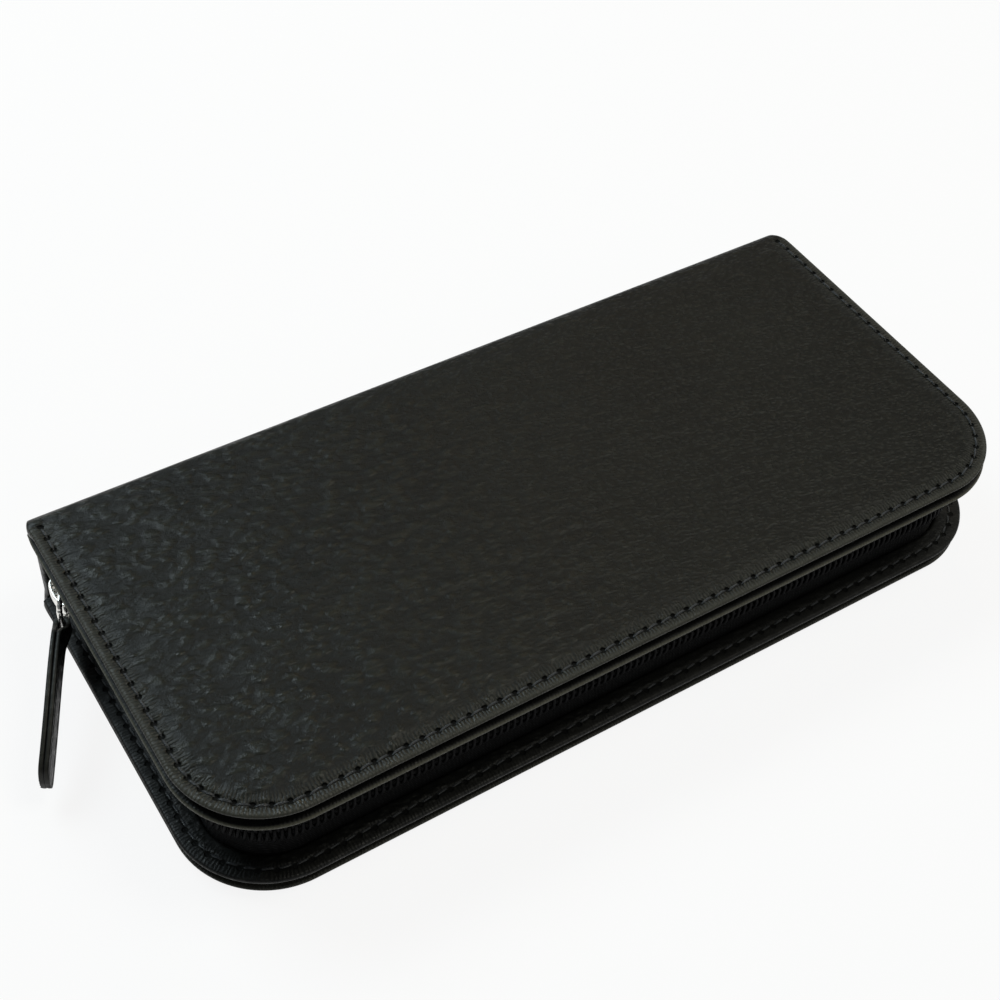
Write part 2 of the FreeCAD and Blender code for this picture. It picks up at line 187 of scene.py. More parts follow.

# Edges that shade as sharp, and bevel of the imported solids
SHARP_ANGLE = math.radians(55)
SOLID_BEVEL = 0.12

# Zip; the coil's front and back are measured from the tape's face, and narrow towards its head
COIL_PITCH = 1.43
COIL_WIRE = 0.33
COIL_OVERLAP = 0.3
COIL_STEPS = 14
COIL_LEAN = 0.17
COIL_BULGE = 0.16
COIL_FRONT = 1.15
COIL_FRONT_TAPER = 0.5
COIL_BEHIND = 0.36
COIL_BEHIND_TAPER = 0.12
TAPE_OUTER = 1.7
TAPE_FACE = 5.6
TAPE_INNER = 6.2
TAPE_TOP_DROP = 0.3
ZIP_END = tape_high.y
COIL_END = coil_high.y

# Slider and its bridge; the nose and the shoulder of the slider's outline are (y, z) cuts
SLIDER_PLATE = 1.2
SLIDER_BACK_PLATE = 1.0
SLIDER_SHRINK = 0.2
SLIDER_ROUND = 0.55
SLIDER_WAIST = 0.7
SLIDER_NOSE = (2.6, 0.5)
SLIDER_SHOULDER = (1.2, 1.4)
SLIDER_MARGIN = 1.0
PLATE_OVERLAP = 0.6
DIVIDER_LENGTH = 1.3
DIVIDER_HALF = 0.25
DIVIDER_CLEAR = (1.9, 0.2)
LIP_THICKNESS = 0.8
LIP_GAP = 0.3
GRIPS = 4
GRIP_START = 1.5
GRIP_PITCH = 0.75
GRIP_RADIUS = 0.2
GRIP_LINE = [(1.9, 0.02), (2.6, 0.05), (3.2, 0.02)]
CROWN_END = 0.45
CROWN_WIRE = 0.35
CROWN_FOOT_WIRE = 0.62
CROWN_STEPS = 24
CROWN_SIDES = 16
POST_RADIUS = 0.24

# Ring and strap
RING_WIRE = 0.55
RING_HALF = 4.2
RING_REACH = 4.2
RING_CORNER = 1.3
RING_SIDES = 12
RING_PARTS = 4
STRAP_LENGTH = 30.5
STRAP_WIDTH = 6.4
STRAP_PLY = 0.9
STRAP_ROUND = 0.3
STRAP_FLAT = 3.0
STRAP_DROP = 7.0
STRAP_BOW = 0.5
STRAP_TAPER = 5.0
STRAP_TIP = 2.0
STRAP_NECK = 0.42
STRAP_SLIDE = 1.5
STRAP_GAP = 0.03
STRAP_LOOP_GAP = 0.15
STRAP_STITCH_EDGE = 1.2
STRAP_GROOVE = 0.12
STRAP_GROOVE_SPREAD = 0.28
STRAP_STITCH_START = 0.8
STRAP_STITCH_SHARE = 0.43
STRAP_THREAD = 0.24
TUBE_SIDES = 8

# Pen loops, with the foot of an arch as (reach past the arch, rise), and pocket
LANES = 3
LANE_RADIUS = 7.0
LANE_RISE = 6.5
BAND_THICKNESS = 0.9
BAND_HEM = 3.0
BAND_FOOT = [(1.6, 0.0), (0.7, 0.1), (0.1, 0.8)]
BAND_LEG = 2.0
BAND_RIBS = 36
RIB_DEPTH = 0.1
BAND_SEAM_INSET = 1.2
SEAM_THREAD = 0.26
SEAM_SHARE = 0.86
SEAM_DIP = 0.3
SEAM_LIFT = 0.02
POCKET_SEAM_INSET = 1.6
POCKET_ROUND = 0.6
POCKET_SLACK = 0.5
MOUTH_START = 5.0
MOUTH_RUN = 4.0

# Grain of the leather, whose streaks run a little off the length
GRAIN_TURN = math.radians(10.0)
GRAIN_STRETCH = 0.55
PLEAT_PITCH = 0.68

# Leathers: tones, pebble sizes at the left and the right end, bump depth and roughness; the edge tone is a
# painted highlight on the bead and the ridge, full up to the inset near and gone at the inset far, with a
# share on the pleats
COVER_LOOK = {
    "dark": (0.001, 0.0012, 0.0007), "grain_and_highlight": (0.0165, 0.0175, 0.0128), "edge": (0.036, 0.0355, 0.0285),
    "near": 0.6, "far": 1.9, "pleat_highlight_share": 0.3,
    "cell_left": 1.3, "cell_right": 0.6, "depth": 0.22, "rough": 0.28}
TRIM_LOOK = {
    "dark": (0.0025, 0.0027, 0.0023), "grain_and_highlight": (0.0125, 0.0128, 0.0113), "edge": (0.072, 0.07, 0.051),
    "near": 0.15, "far": 0.5, "pleat_highlight_share": 0.0,
    "cell_left": 0.8, "cell_right": 0.7, "depth": 0.12, "rough": 0.36}

# Other tones, dark and light
THREAD_TONES = (0.013, 0.014, 0.0153), (0.036, 0.0388, 0.0422)
# coil and tape: a dark own colour, darkened further as painted shade of the lid's overhang on the zip
COIL_TONES_AND_SHADE = (0.0008, 0.0008, 0.0009), (0.0026, 0.0026, 0.003)
TAPE_TONES_AND_SHADE = (0.0008, 0.0008, 0.0009), (0.003, 0.003, 0.0034)
ELASTIC_TONES = (0.007, 0.007, 0.0075), (0.024, 0.024, 0.026)
METAL_TONES = (0.8, 0.79, 0.75), (0.93, 0.92, 0.88)
SUEDE_TONES = (0.012, 0.012, 0.0125), (0.034, 0.034, 0.036)
BOARD_TONES = (0.3, 0.25, 0.19), (0.42, 0.36, 0.28)
STOP_TONES = (0.5, 0.5, 0.48), (0.68, 0.68, 0.65)

# Floor rings, as (radius, height), and lamps, as (name, place, target, size, watts, colour), in metres
FLOOR_RINGS = [(1.0, 0.0), (2.2, 0.0), (2.5, 0.03), (2.75, 0.12), (2.92, 0.28), (3.0, 0.5)]
FLOOR_SIDES = 96
FLOOR_DROP = 0.00002
FLOOR_TONE = (0.86, 0.86, 0.86, 1)
FLOOR_GLOW = 0.88
CENTRE = (0, 0, 0.02)
LAMPS = [
    ("window", (-0.28, 0.62, 0.74), (-0.05, 0, 0.02), (0.5, 0.4), 6.0, (0.8, 0.94, 1.0)),
    ("overhead", (0.5, -0.15, 1.05), CENTRE, (0.5, 0.45), 5.2, (1.0, 0.98, 0.86)),
    ("front_fill", (0.45, -0.8, 0.6), CENTRE, (0.4, 0.3), 0.6, (1.0, 0.99, 0.92)),
    ("room_lamp", (0.287, 0.327, 0.453), CENTRE, (0.05, 0.05), 0.25, (1.0, 0.74, 0.45))]
WORLD_COLOUR = (0.92, 0.97, 1.0, 1)
WORLD_LEVEL = 0.12

# Camera, fitted to the photograph; the focal length is in pixels of its 1000 pixel frame
FOCAL_PIXELS = 1647.19
FRAME_PIXELS = 1000.0
SENSOR = 36.0
AZIMUTH = math.radians(-36.363)
ELEVATION = math.radians(48.336)
ROLL = math.radians(5.513)
CAMERA_OFFSET = (-7.3945, 14.0394, 336.486)
FITTED_FRONT = -40.0

joints = {joint["name"]: joint for joint in frame["joints"]}
RING_AT = Vector(joints["ring_swing"]["pos_m"]) / MM
STRAP_AT = Vector(joints["strap_swing"]["pos_m"]) / MM
PULL = (STRAP_AT - RING_AT).normalized()
PULL_SIDE = Vector((-PULL.y, PULL.x, 0))


# Curves

def smooth(share):
    share = np.clip(share, 0, 1)
    return share * share * (3 - 2 * share)


def bell(away, spread):
    return np.exp(-(away / spread) ** 2)


def soft_noise(x, y, seed):
    """Smooth values from -1 to 1 on a seeded lattice of unit cells."""
    size = 97
    lattice = np.random.default_rng(seed).random((size, size)) * 2 - 1
    i = np.floor(x).astype(int)
    j = np.floor(y).astype(int)
    u = smooth(x - i)
    v = smooth(y - j)
    low = lattice[i % size, j % size] * (1 - u) + lattice[(i + 1) % size, j % size] * u
    high = lattice[i % size, (j + 1) % size] * (1 - u) + lattice[(i + 1) % size, (j + 1) % size] * u
    return low * (1 - v) + high * v


def cell_noise(x, y, cell, seed):
    return soft_noise(x / cell[0] + NOISE_SHIFT, y / cell[1] + NOISE_SHIFT, seed)


def corner_wear(run, most):
    """How far the rubbed corner beside the spine is drawn in, at a run past the stitched field."""
    return most * bell(run - WEAR_RUN, WEAR_SPREAD)


def rim_place(station, inset):
    """Plan position on the rim line drawn in by inset."""
    turn = np.clip((station - SIDE) / ARC_REF, 0, math.pi / 2)
    turn = turn + np.clip((station - SIDE - BEND - RUN) / ARC_REF, 0, math.pi / 2)
    x = CORNER - HALF + np.clip(station - SIDE - BEND, 0, RUN)
    y = FRONT + CORNER + np.maximum(SIDE - station, 0)
    y = y + np.maximum(station - SIDE - 2 * BEND - RUN, 0)
    past = np.maximum(-station, station - RIM_LENGTH)
    wear = np.where(station > RIM_LENGTH / 2, corner_wear(past, RIGHT_WEAR), corner_wear(past, LEFT_WEAR))
    reach = CORNER - inset - wear
    return x - np.cos(turn) * reach, y - np.sin(turn) * reach


def fold_place(run, depth):
    """(y, z) at a run past the stitched field, over the fold and up the spine, sunk by depth."""
    turn = np.clip((run - PAD_BACK_GAP) / FOLD, 0, math.pi / 2)
    rise = np.maximum(run - FOLD_END, 0)
    y = BACK + np.minimum(run, PAD_BACK_GAP) + (FOLD - depth) * np.sin(turn)
    z = RIM + FOLD - (FOLD - depth) * np.cos(turn) + rise
    return y, z


def directions(path):
    """Unit steps along an open path."""
    steps = np.gradient(path, axis=0)
    return steps / np.linalg.norm(steps, axis=1)[:, None]


def circle(count):
    """(cosine, sine) at equal steps round a circle."""
    angles = 2 * math.pi * np.arange(count) / count
    return list(zip(np.cos(angles), np.sin(angles)))


# Mesh helpers

def make_object(name, points, faces, marks=None, flip=False):
    """Mesh object from points in millimetres, with rest and rim places stored for its material."""
    points = np.array(points, float)
    if flip:
        points[:, 2] = TOTAL - points[:, 2]
    mesh = bpy.data.meshes.new(name)
    mesh.from_pydata((points * MM).tolist(), [], faces)
    mesh.validate()
    work = bmesh.new()
    work.from_mesh(mesh)
    bmesh.ops.recalc_face_normals(work, faces=work.faces)
    work.to_mesh(mesh)
    work.free()
    for polygon in mesh.polygons:
        polygon.use_smooth = True
    mesh.set_sharp_from_angle(angle=SHARP_ANGLE)
    if marks is None:
        marks = np.column_stack([np.zeros(len(points)), np.full(len(points), FAR_INSET)])
    store_place(mesh, "rest_place", points)
    store_place(mesh, "rim_place", np.column_stack([marks, np.zeros(len(points))]))
    return add_to_scene(name, mesh)


def add_to_scene(name, data):
    piece = bpy.data.objects.new(name, data)
    bpy.context.scene.collection.objects.link(piece)
    return piece


def store_place(mesh, name, values):
    layer = mesh.attributes.new(name, "FLOAT_VECTOR", "POINT")
    layer.data.foreach_set("vector", np.asarray(values, np.float32).ravel())


def strip_faces(rows, closed=False):
    """Quads between neighbouring rows of point numbers."""
    faces = []
    for a, b in zip(rows, rows[1:]):
        for i in range(len(a) - 1):
            faces.append((a[i], a[i + 1], b[i + 1], b[i]))
        if closed:
            faces.append((a[-1], a[0], b[0], b[-1]))
    return faces


def loft(sections, loop=False):
    """Points and faces of a skin over closed sections, with capped ends or joined into a loop."""
    sides = len(sections[0])
    points = [tuple(spot) for section in sections for spot in section]
    rows = [list(range(i * sides, (i + 1) * sides)) for i in range(len(sections))]
    if loop:
        return points, strip_faces(rows + rows[:1], closed=True)
    return points, strip_faces(rows, closed=True) + [tuple(rows[0][::-1]), tuple(rows[-1])]


def tube(path, radius):
    """Points and faces of a round tube along a list of points."""
    path = np.array(path, float)
    along = directions(path)
    guide = np.array((0.0, 0.0, 1.0)) if abs(along[0][2]) < 0.8 else np.array((1.0, 0.0, 0.0))
    around = circle(TUBE_SIDES)
    sections = []
    for spot, direction in zip(path, along):
        side = guide - direction * (guide @ direction)
        side /= np.linalg.norm(side)
        guide = side
        other = np.cross(direction, side)
        sections.append([spot + radius * (c * side + s * other) for c, s in around])
    return loft(sections)


def joined(parts):
    """One list of points and faces from many."""
    points = []
    faces = []
    for more_points, more_faces in parts:
        start = len(points)
        points += list(more_points)
        faces += [tuple(i + start for i in face) for face in more_faces]
    return points, faces


def rim_sweep(profile, start, end, step):
    """Points, faces and marks of a closed (inset, height) outline swept along the rim line."""
    stations = np.linspace(start, end, int((end - start) / step) + 1)
    rows = []
    points = []
    marks = []
    for inset, height in profile:
        x, y = rim_place(stations, inset)
        rows.append(list(range(len(points), len(points) + len(x))))
        points += list(zip(x, y, np.full_like(x, height)))
        marks += [(station, inset) for station in stations]
    faces = strip_faces(rows + rows[:1])
    faces += [tuple(row[0] for row in rows), tuple(row[-1] for row in rows[::-1])]
    return points, faces, np.array(marks)


# Covers: one leather sheet per half, from the rim over the fold to the middle of the spine

def core_grid(left, right, front, back):
    """Grid filled between four boundaries, indexed along X and then from front to back."""
    u = np.linspace(0, 1, len(front))[:, None, None]
    v = np.linspace(0, 1, len(left))[None, :, None]
    grid = (1 - u) * left[None] + u * right[None] + (1 - v) * front[:, None] + v * back[:, None]
    grid -= (1 - u) * (1 - v) * left[0] + u * (1 - v) * right[0]
    grid -= (1 - u) * v * left[-1] + u * v * right[-1]
    return grid


def plain_share(run):
    """How far the beaded rim has turned into the spine's plain edge, at a run past the stitched field."""
    return smooth((run + PLAIN_START) / (PLAIN_START + PAD_FADE))


def sheet_mesh(profile, lifted, dimples, rise):
    """Closed sheet: outer field, rim rings, inner field, fold and half of the spine.

    profile gives the (inset, depth) rings for a share of the way to the spine. The first lifted rings
    are raised by rise and pressed in by dimples, and the outer field is raised too.
    """
    rings = np.array(profile(0.0))
    plain_rings = np.array(profile(1.0))
    plain = plain_share(-np.minimum(STATIONS, RIM_LENGTH - STATIONS))
    last = len(STATIONS) - 1
    points = []
    marks = []

    def add(xyz, station=0.0, inset=FAR_INSET):
        first = len(points)
        points.extend(map(tuple, xyz))
        count = len(points) - first
        marks.extend(zip(np.broadcast_to(station, count), np.broadcast_to(inset, count)))
        return list(range(first, len(points)))

    ring_plans = []
    ring_ids = []
    for k, (inset, depth) in enumerate(rings):
        across = inset + plain * (plain_rings[k][0] - inset)
        sink = depth + plain * (plain_rings[k][1] - depth)
        x, y = rim_place(STATIONS, across)
        if k < lifted:
            sink = sink + dimples(STATIONS, inset) - rise(x, y, inset)
        ring_plans.append(np.stack([x, y], 1))
        ring_ids.append(add(np.column_stack([x, y, RIM + sink]), STATIONS, across))

    def fill(ring, raised):
        edge = ring_plans[ring]
        left = edge[:CORNER_STEP + 1][::-1]
        front = edge[CORNER_STEP:last - CORNER_STEP + 1]
        right = edge[last - CORNER_STEP:]
        spread = (front[:, 0] - front[0, 0]) / (front[-1, 0] - front[0, 0])
        back_x = left[-1, 0] + spread * (right[-1, 0] - left[-1, 0])
        back = np.stack([back_x, np.full_like(back_x, BACK)], 1)
        grid = core_grid(left, right, front, back)
        across, deep = grid.shape[:2]
        heights = np.full((across, deep), RIM + rings[ring][1])
        if raised:
            heights = heights - rise(grid[..., 0], grid[..., 1], None)
        ids = np.zeros((across, deep), int)
        numbers = ring_ids[ring]
        ids[0, :] = numbers[:CORNER_STEP + 1][::-1]
        ids[:, 0] = numbers[CORNER_STEP:last - CORNER_STEP + 1]
        ids[-1, :] = numbers[last - CORNER_STEP:]
        inner = np.column_stack([grid[1:-1, 1:].reshape(-1, 2), heights[1:-1, 1:].ravel()])
        ids[1:-1, 1:] = np.array(add(inner)).reshape(across - 2, deep - 1)
        return ids, back_x

    outer, outer_x = fill(0, lifted > 0)
    inner, inner_x = fill(len(rings) - 1, False)
    faces = strip_faces(outer.tolist()) + strip_faces(inner.tolist()) + strip_faces(ring_ids)

    def place_row(xs, depths, run, station=0.0, insets=FAR_INSET):
        y, z = fold_place(np.full(len(xs), run), depths)
        return add(np.column_stack([xs, y, z]), station, insets)

    before = (outer[:, -1].tolist(), [row[0] for row in ring_ids], [row[-1] for row in ring_ids],
              inner[:, -1].tolist())
    for run in FOLD_RUNS:
        draw = smooth((run - PAD_BACK_GAP) / SPINE_EASE) * (HALF - SPINE_HALF)
        fade = smooth((PAD_FADE - run) / PAD_FADE)
        insets, depths = (rings + plain_share(run) * (plain_rings - rings)).T
        ends = HALF - insets - draw
        left_ends = corner_wear(run, LEFT_WEAR) - ends
        right_ends = ends - corner_wear(run, RIGHT_WEAR)
        outer_depth = np.full_like(outer_x, depths[0])
        inner_depth = np.full_like(inner_x, depths[-1])
        if lifted:
            outer_depth = outer_depth - fade * rise(outer_x, np.full_like(outer_x, BACK), None)
        for k in range(lifted):
            depths[k] -= fade * rise(ends[k], BACK, insets[k])
        outer_across = np.interp(outer_x, outer_x[[0, -1]], (left_ends[0], right_ends[0]))
        inner_across = np.interp(inner_x, inner_x[[0, -1]], (left_ends[-1], right_ends[-1]))
        outer_row = place_row(outer_across, outer_depth, run)
        inner_row = place_row(inner_across, inner_depth, run)
        sides = []
        for places, station, column in ((left_ends, -run, 0), (right_ends, RIM_LENGTH + run, -1)):
            row = place_row(places[1:-1], depths[1:-1], run, station, insets[1:-1] + run)
            sides.append([outer_row[column]] + row + [inner_row[column]])
        here = (outer_row, sides[0], sides[1], inner_row)
        for a, b in zip(before, here):
            faces += strip_faces([a, b])
        before = here
    outer_row, left_row, right_row, inner_row = before
    faces += strip_faces([outer_row, inner_row])
    faces += [tuple(left_row), tuple(right_row[::-1])]
    return points, faces, np.array(marks)


def leather_profile(plain):
    """(inset, depth) across the edge: beaded at the rim, simply rounded where plain is 1, on the spine."""
    rim = 1 - plain
    valley = VALLEY * bell(FIELD_INSETS - STITCH_INSET, VALLEY_SPREAD)
    bead = BEAD_RISE * bell(FIELD_INSETS - BEAD_INSET, BEAD_SPREAD)
    outline = list(zip(FIELD_INSETS, rim * (valley - bead)))
    turned = TURN_IN + PLAIN_EXTRA * plain
    centre = rim * BEAD_INSET + plain * PLAIN_INSET
    height = rim * BEAD_HEIGHT + plain * turned
    power = rim + plain * PLAIN_POWER
    for k in range(1, EDGE_STEPS):
        angle = math.pi * k / EDGE_STEPS
        reach = BEAD_REACH * math.sin(angle) ** power
        outline.append((centre - reach, height / 2 * (1 - math.cos(angle))))
    for at_rim, at_spine, down in TUCKS:
        outline.append((centre + at_rim * rim + at_spine * plain, height + down * (turned - height)))
    return outline + [(STITCH_INSET, turned), (TURN_IN_WIDTH - 2 * TURN_IN_ROUND, turned),
                      (TURN_IN_WIDTH, turned - TURN_IN_ROUND), (TURN_IN_WIDTH, LEATHER + TURN_IN_ROUND),
                      (TURN_IN_WIDTH + 6 * TURN_IN_ROUND, LEATHER)]


def stitch_dimples(station, inset):
    """Thread holes pressed into the stitch line, and the leather gathered up between them."""
    phase = (station / STITCH_STEP) % 1.0
    away = np.minimum(phase, 1 - phase) * STITCH_STEP
    uneven = 0.65 + 0.35 * soft_noise(np.floor(station / STITCH_STEP) * 1.7, np.zeros_like(station), 5)
    hole = HOLE_DEPTH * bell(away, HOLE_ALONG) * bell(inset - STITCH_INSET, HOLE_ACROSS)
    gather = GATHER_RISE * uneven * np.sin(math.pi * phase) ** 2 * bell(inset - GATHER_INSET, GATHER_SPREAD)
    pucker = PUCKER_DEPTH * bell(away, PUCKER_SPREAD) * bell(inset - BEAD_INSET, PUCKER_SPREAD)
    return hole + pucker - gather


def cover_rise(x, y, inset):
    """Height of the padded field above the rim, with soft wrinkles; inset is None inside the rings."""
    share = 1.0 if inset is None else smooth((inset - STITCH_INSET) / PAD_SLOPE)
    back = BACK_SHARE + (1 - BACK_SHARE) * smooth((BACK + 1.0 - y) / BACK_SLOPE)
    drift = x + DRIFT * cell_noise(x, y, DRIFT_CELL, 1)
    streak = cell_noise(drift, y + math.tan(GRAIN_TURN) * x, STREAK_CELL, 2)
    broad = cell_noise(x, y, BROAD_CELL, 3)
    leftward = STREAK_RIGHT_SHARE + (1 - STREAK_RIGHT_SHARE) * smooth((STREAK_END - x) / STREAK_FADE)
    sag = STREAK_RISE * leftward * streak + BROAD_RISE * broad
    return share * back * (RIM - PAD_SLACK + sag)


def leather_cover(name, flip):
    sheet = sheet_mesh(leather_profile, len(FIELD_INSETS), stitch_dimples, cover_rise)
    return make_object(name, *sheet, flip)


def lining_profile(plain):
    """(inset, depth) across the lining's thin edge, the same at the rim and on the spine."""
    face = LINING_FACE
    rear = TURN_IN + 0.02
    outline = [(1.0, face), (0.4, face), (0.1, face - 0.1), (0.0, face - 0.3), (0.05, rear + 0.1),
               (0.3, rear), (1.0, rear)]
    return [(LINING_INSET + inset, depth) for inset, depth in outline]


def lining_sheet(name, flip):
    points, faces = sheet_mesh(lining_profile, 0, None, None)[:2]
    return make_object(name, points, faces, flip=flip)


def rim_facing(name, flip):
    """Thin strip whose rounded edge makes the ridge of the rim."""
    low = facing_low.z
    high = facing_high.z
    top = low + FACING_DROP
    outline = []
    for k in range(11):
        angle = math.pi * k / 10
        height = (top + high - (high - top) * math.cos(angle)) / 2
        outline.append((FACING_INSET - FACING_REACH * math.sin(angle), height))
    for inset in np.linspace(*FACING_FACE, 18):
        outline.append((inset, high - FACING_GROOVE * bell(inset - STITCH_INSET, FACING_GROOVE_SPREAD)))
    outline += [(FACING_WIDTH - 0.2, high - 0.08), (FACING_WIDTH, high - 0.3), (FACING_WIDTH, low)]
    run = FACING_RUN if flip else FACING_RUN_BELOW
    points, faces, marks = rim_sweep(outline, -run, RIM_LENGTH + run, 0.8)
    if not flip:
        marks[:, 1] += NO_HIGHLIGHT_SHIFT
    return make_object(name, points, faces, marks, flip)


def rim_threads(name, flip):
    """Every stitch of the outer and the inner row, dipping into its two holes."""
    parts = []
    share = np.linspace(-1, 1, 11)
    for level, sign in ((RIM + VALLEY - THREAD_SINK, 1), (facing_high.z - 2 * THREAD_SINK, -1)):
        for i in range(STITCHES):
            stations = (i + 0.5 + STITCH_SHARE * share) * STITCH_STEP
            x, y = rim_place(stations, STITCH_INSET + STITCH_SLANT * share)
            z = level + sign * STITCH_DIP * np.abs(share) ** 4
            swell = STITCH_RADIUS * (0.95 + 0.05 * math.sin(i * 2.4))
            parts.append(tube(np.column_stack([x, y, z]), swell))
    return make_object(name, *joined(parts), flip=flip)


# Zip

def zip_tape(name, flip):
    """Woven tape under the facing, turned up behind the coil."""
    top = coil_high.z - TAPE_TOP_DROP
    low = tape_low.z
    flange = low + TAPE_INNER - TAPE_FACE
    profile = [(TAPE_OUTER, low), (TAPE_INNER, low), (TAPE_INNER, top - 0.2), (TAPE_INNER - 0.15, top),
               (TAPE_FACE + 0.15, top), (TAPE_FACE, top - 0.2), (TAPE_FACE, flange), (TAPE_OUTER, flange)]
    return make_object(name, *rim_sweep(profile, BACK - ZIP_END, RIM_LENGTH + ZIP_END - BACK, 1.0), flip)


def zip_coil(name, flip, shift):
    """One nylon filament wound flat, turn after turn, along the edge of the tape."""
    start = BACK - COIL_END
    turns = int((RIM_LENGTH - 2 * start) / COIL_PITCH) - 1
    angle = np.linspace(0, 2 * math.pi * turns, turns * COIL_STEPS + 1)
    stations = start + (angle / (2 * math.pi) + 0.5 + shift + COIL_LEAN * np.sin(angle)) * COIL_PITCH
    root = coil_low.z + COIL_WIRE
    head = MID + COIL_OVERLAP
    lift = (1 - np.cos(angle)) / 2
    front = TAPE_FACE - COIL_FRONT + COIL_FRONT_TAPER * lift - COIL_BULGE * np.sin(math.pi * lift)
    behind = TAPE_FACE - COIL_BEHIND - COIL_BEHIND_TAPER * lift
    side = (1 + np.sin(angle)) / 2
    x, y = rim_place(stations, front * side + behind * (1 - side))
    path = np.column_stack([x, y, root + (head - root) * lift])
    return make_object(name, *tube(path, COIL_WIRE), flip=flip)


# Slider and pull

def rounded_outline(corners, radius, steps=6):
    """Outline of a polygon with each corner replaced by an arc."""
    outline = []
    for i, corner in enumerate(corners):
        here = Vector(corner)
        before = (Vector(corners[i - 1]) - here).normalized()
        after = (Vector(corners[(i + 1) % len(corners)]) - here).normalized()
        half = before.angle(after) / 2
        reach = radius / math.tan(half)
        centre = here + (before + after).normalized() * radius / math.sin(half)
        start = here + before * reach - centre
        end = here + after * reach - centre
        arc = [start.slerp(end, k / steps) for k in range(1, steps)]
        outline += [tuple(centre + spot) for spot in [start] + arc + [end]]
    return outline


def rounded_box(front, back, low, high, radius):
    return rounded_outline([(front, low), (back, low), (back, high), (front, high)], radius)


def plate_mesh(outline, low, high, bevel):
    """Plate across X with an outline in (y, z) and rounded edges."""
    outline = np.array(outline, float)
    middle = outline.mean(0)
    reach = np.abs(outline - middle).max(0)
    levels = []
    for k in range(5):
        angle = math.pi / 2 * k / 4
        levels.append((low + bevel * (1 - math.sin(angle)), bevel * (1 - math.cos(angle))))
    levels = levels[::-1] + [(high - (x - low), inset) for x, inset in levels]
    sections = []
    for x, inset in levels:
        ring = middle + (outline - middle) * (1 - inset / reach)
        sections.append([(x, y, z) for y, z in ring])
    return loft(sections)


def slider_outline(shrink=0.0):
    front = slider_low.y + shrink
    back = slider_high.y - shrink
    wide = (slider_high.z - slider_low.z) / 2 - shrink
    narrow = wide - SLIDER_WAIST
    nose_y, nose_z = SLIDER_NOSE
    shoulder_y, shoulder_z = SLIDER_SHOULDER
    lower = [(front, MID - narrow + nose_z), (front + nose_y, MID - narrow), (back - shoulder_y, MID - wide),
             (back, MID - wide + shoulder_z)]
    return rounded_outline(lower + [(y, TOTAL - z) for y, z in lower[::-1]], SLIDER_ROUND)


def slider_body():
    """Two plates on either side of the coil, with a stub of the divider on each and a lip under the coil."""
    outer = slider_low.x
    inner = slider_high.x
    tape = TAPE_FACE - HALF
    back = slider_high.y - SLIDER_MARGIN
    divider = rounded_box(back - DIVIDER_LENGTH, back, MID - DIVIDER_HALF, MID + DIVIDER_HALF, 0.12)
    shelf = coil_low.z - LIP_GAP
    lip = rounded_box(slider_low.y + SLIDER_MARGIN, back, shelf - LIP_THICKNESS, shelf, 0.2)
    parts = [plate_mesh(slider_outline(), outer, outer + SLIDER_PLATE, 0.4),
             plate_mesh(slider_outline(SLIDER_SHRINK), inner - SLIDER_BACK_PLATE, inner, 0.35),
             plate_mesh(divider, outer + PLATE_OVERLAP, tape - DIVIDER_CLEAR[0], 0.05),
             plate_mesh(divider, tape + DIVIDER_CLEAR[1], inner - SLIDER_BACK_PLATE / 2, 0.05),
             plate_mesh(lip, outer + PLATE_OVERLAP, tape - LIP_GAP, 0.1)]
    for k in range(GRIPS):
        y = slider_high.y - GRIP_START - GRIP_PITCH * k
        for sign in (-1, 1):
            parts.append(tube([(outer - out, y, MID + sign * up) for up, out in GRIP_LINE], GRIP_RADIUS))
    return make_object("slider_shell", *joined(parts))


def slider_crown():
    """Bridge bowed over the slider's face, with short posts down to it."""
    front = crown_low.y + CROWN_END
    back = crown_high.y - CROWN_END
    foot = crown_high.x + 0.1
    crest = crown_low.x + CROWN_WIRE
    half = (crown_high.z - crown_low.z) / 2
    path = []
    for k in range(CROWN_STEPS + 1):
        angle = math.pi * k / CROWN_STEPS
        bow = math.sin(angle) ** 0.45
        path.append((foot + (crest - foot) * bow, (front + back) / 2 - (back - front) / 2 * math.cos(angle)))
    shape = []
    for c, s in circle(CROWN_SIDES):
        shape.append((math.copysign(abs(c) ** 0.4, c), math.copysign(abs(s) ** 0.7, s)))
    sections = []
    for i, ((x, y), (dx, dy)) in enumerate(zip(path, directions(path))):
        width = half * (0.8 + 0.2 * abs(2 * i / CROWN_STEPS - 1))
        heavy = CROWN_FOOT_WIRE + (CROWN_WIRE - CROWN_FOOT_WIRE) * smooth(3 * i / CROWN_STEPS)
        sections.append([(x + dy * thick * heavy, y - dx * thick * heavy, MID + across * width)
                         for across, thick in shape])
    parts = [loft(sections)]
    for y in np.linspace(back - 1.2, RING_AT.y + 2.2, 3):
        for sign in (-1, 1):
            level = MID + sign * half * 0.62
            post = [(x, y, level) for x in (crest + 0.1, (crest + foot) / 2, foot)]
            parts.append(tube(post, POST_RADIUS))
    return make_object("slider_bridge", *joined(parts))


def pull_ring():
    """Bent wire link through the bridge and the strap's loop."""
    corners = [(0, -RING_HALF), (RING_REACH, -RING_HALF), (RING_REACH, RING_HALF), (0, RING_HALF)]
    outline = np.array(rounded_outline(corners, RING_CORNER, 10))
    path = []
    for here, following in zip(outline, np.roll(outline, -1, 0)):
        for k in range(RING_PARTS):
            reach, level = here + (following - here) * k / RING_PARTS
            path.append(tuple(RING_AT + PULL * float(reach) + Vector((0, 0, float(level)))))
    path = np.array(path)
    along = np.roll(path, -1, 0) - np.roll(path, 1, 0)
    along /= np.linalg.norm(along, axis=1)[:, None]
    flat = np.array(PULL_SIDE)
    around = circle(RING_SIDES)
    sections = []
    for spot, direction in zip(path, along):
        other = np.cross(direction, flat)
        sections.append([spot + RING_WIRE * (c * flat + s * other) for c, s in around])
    return make_object("pull_link", *loft(sections, loop=True))


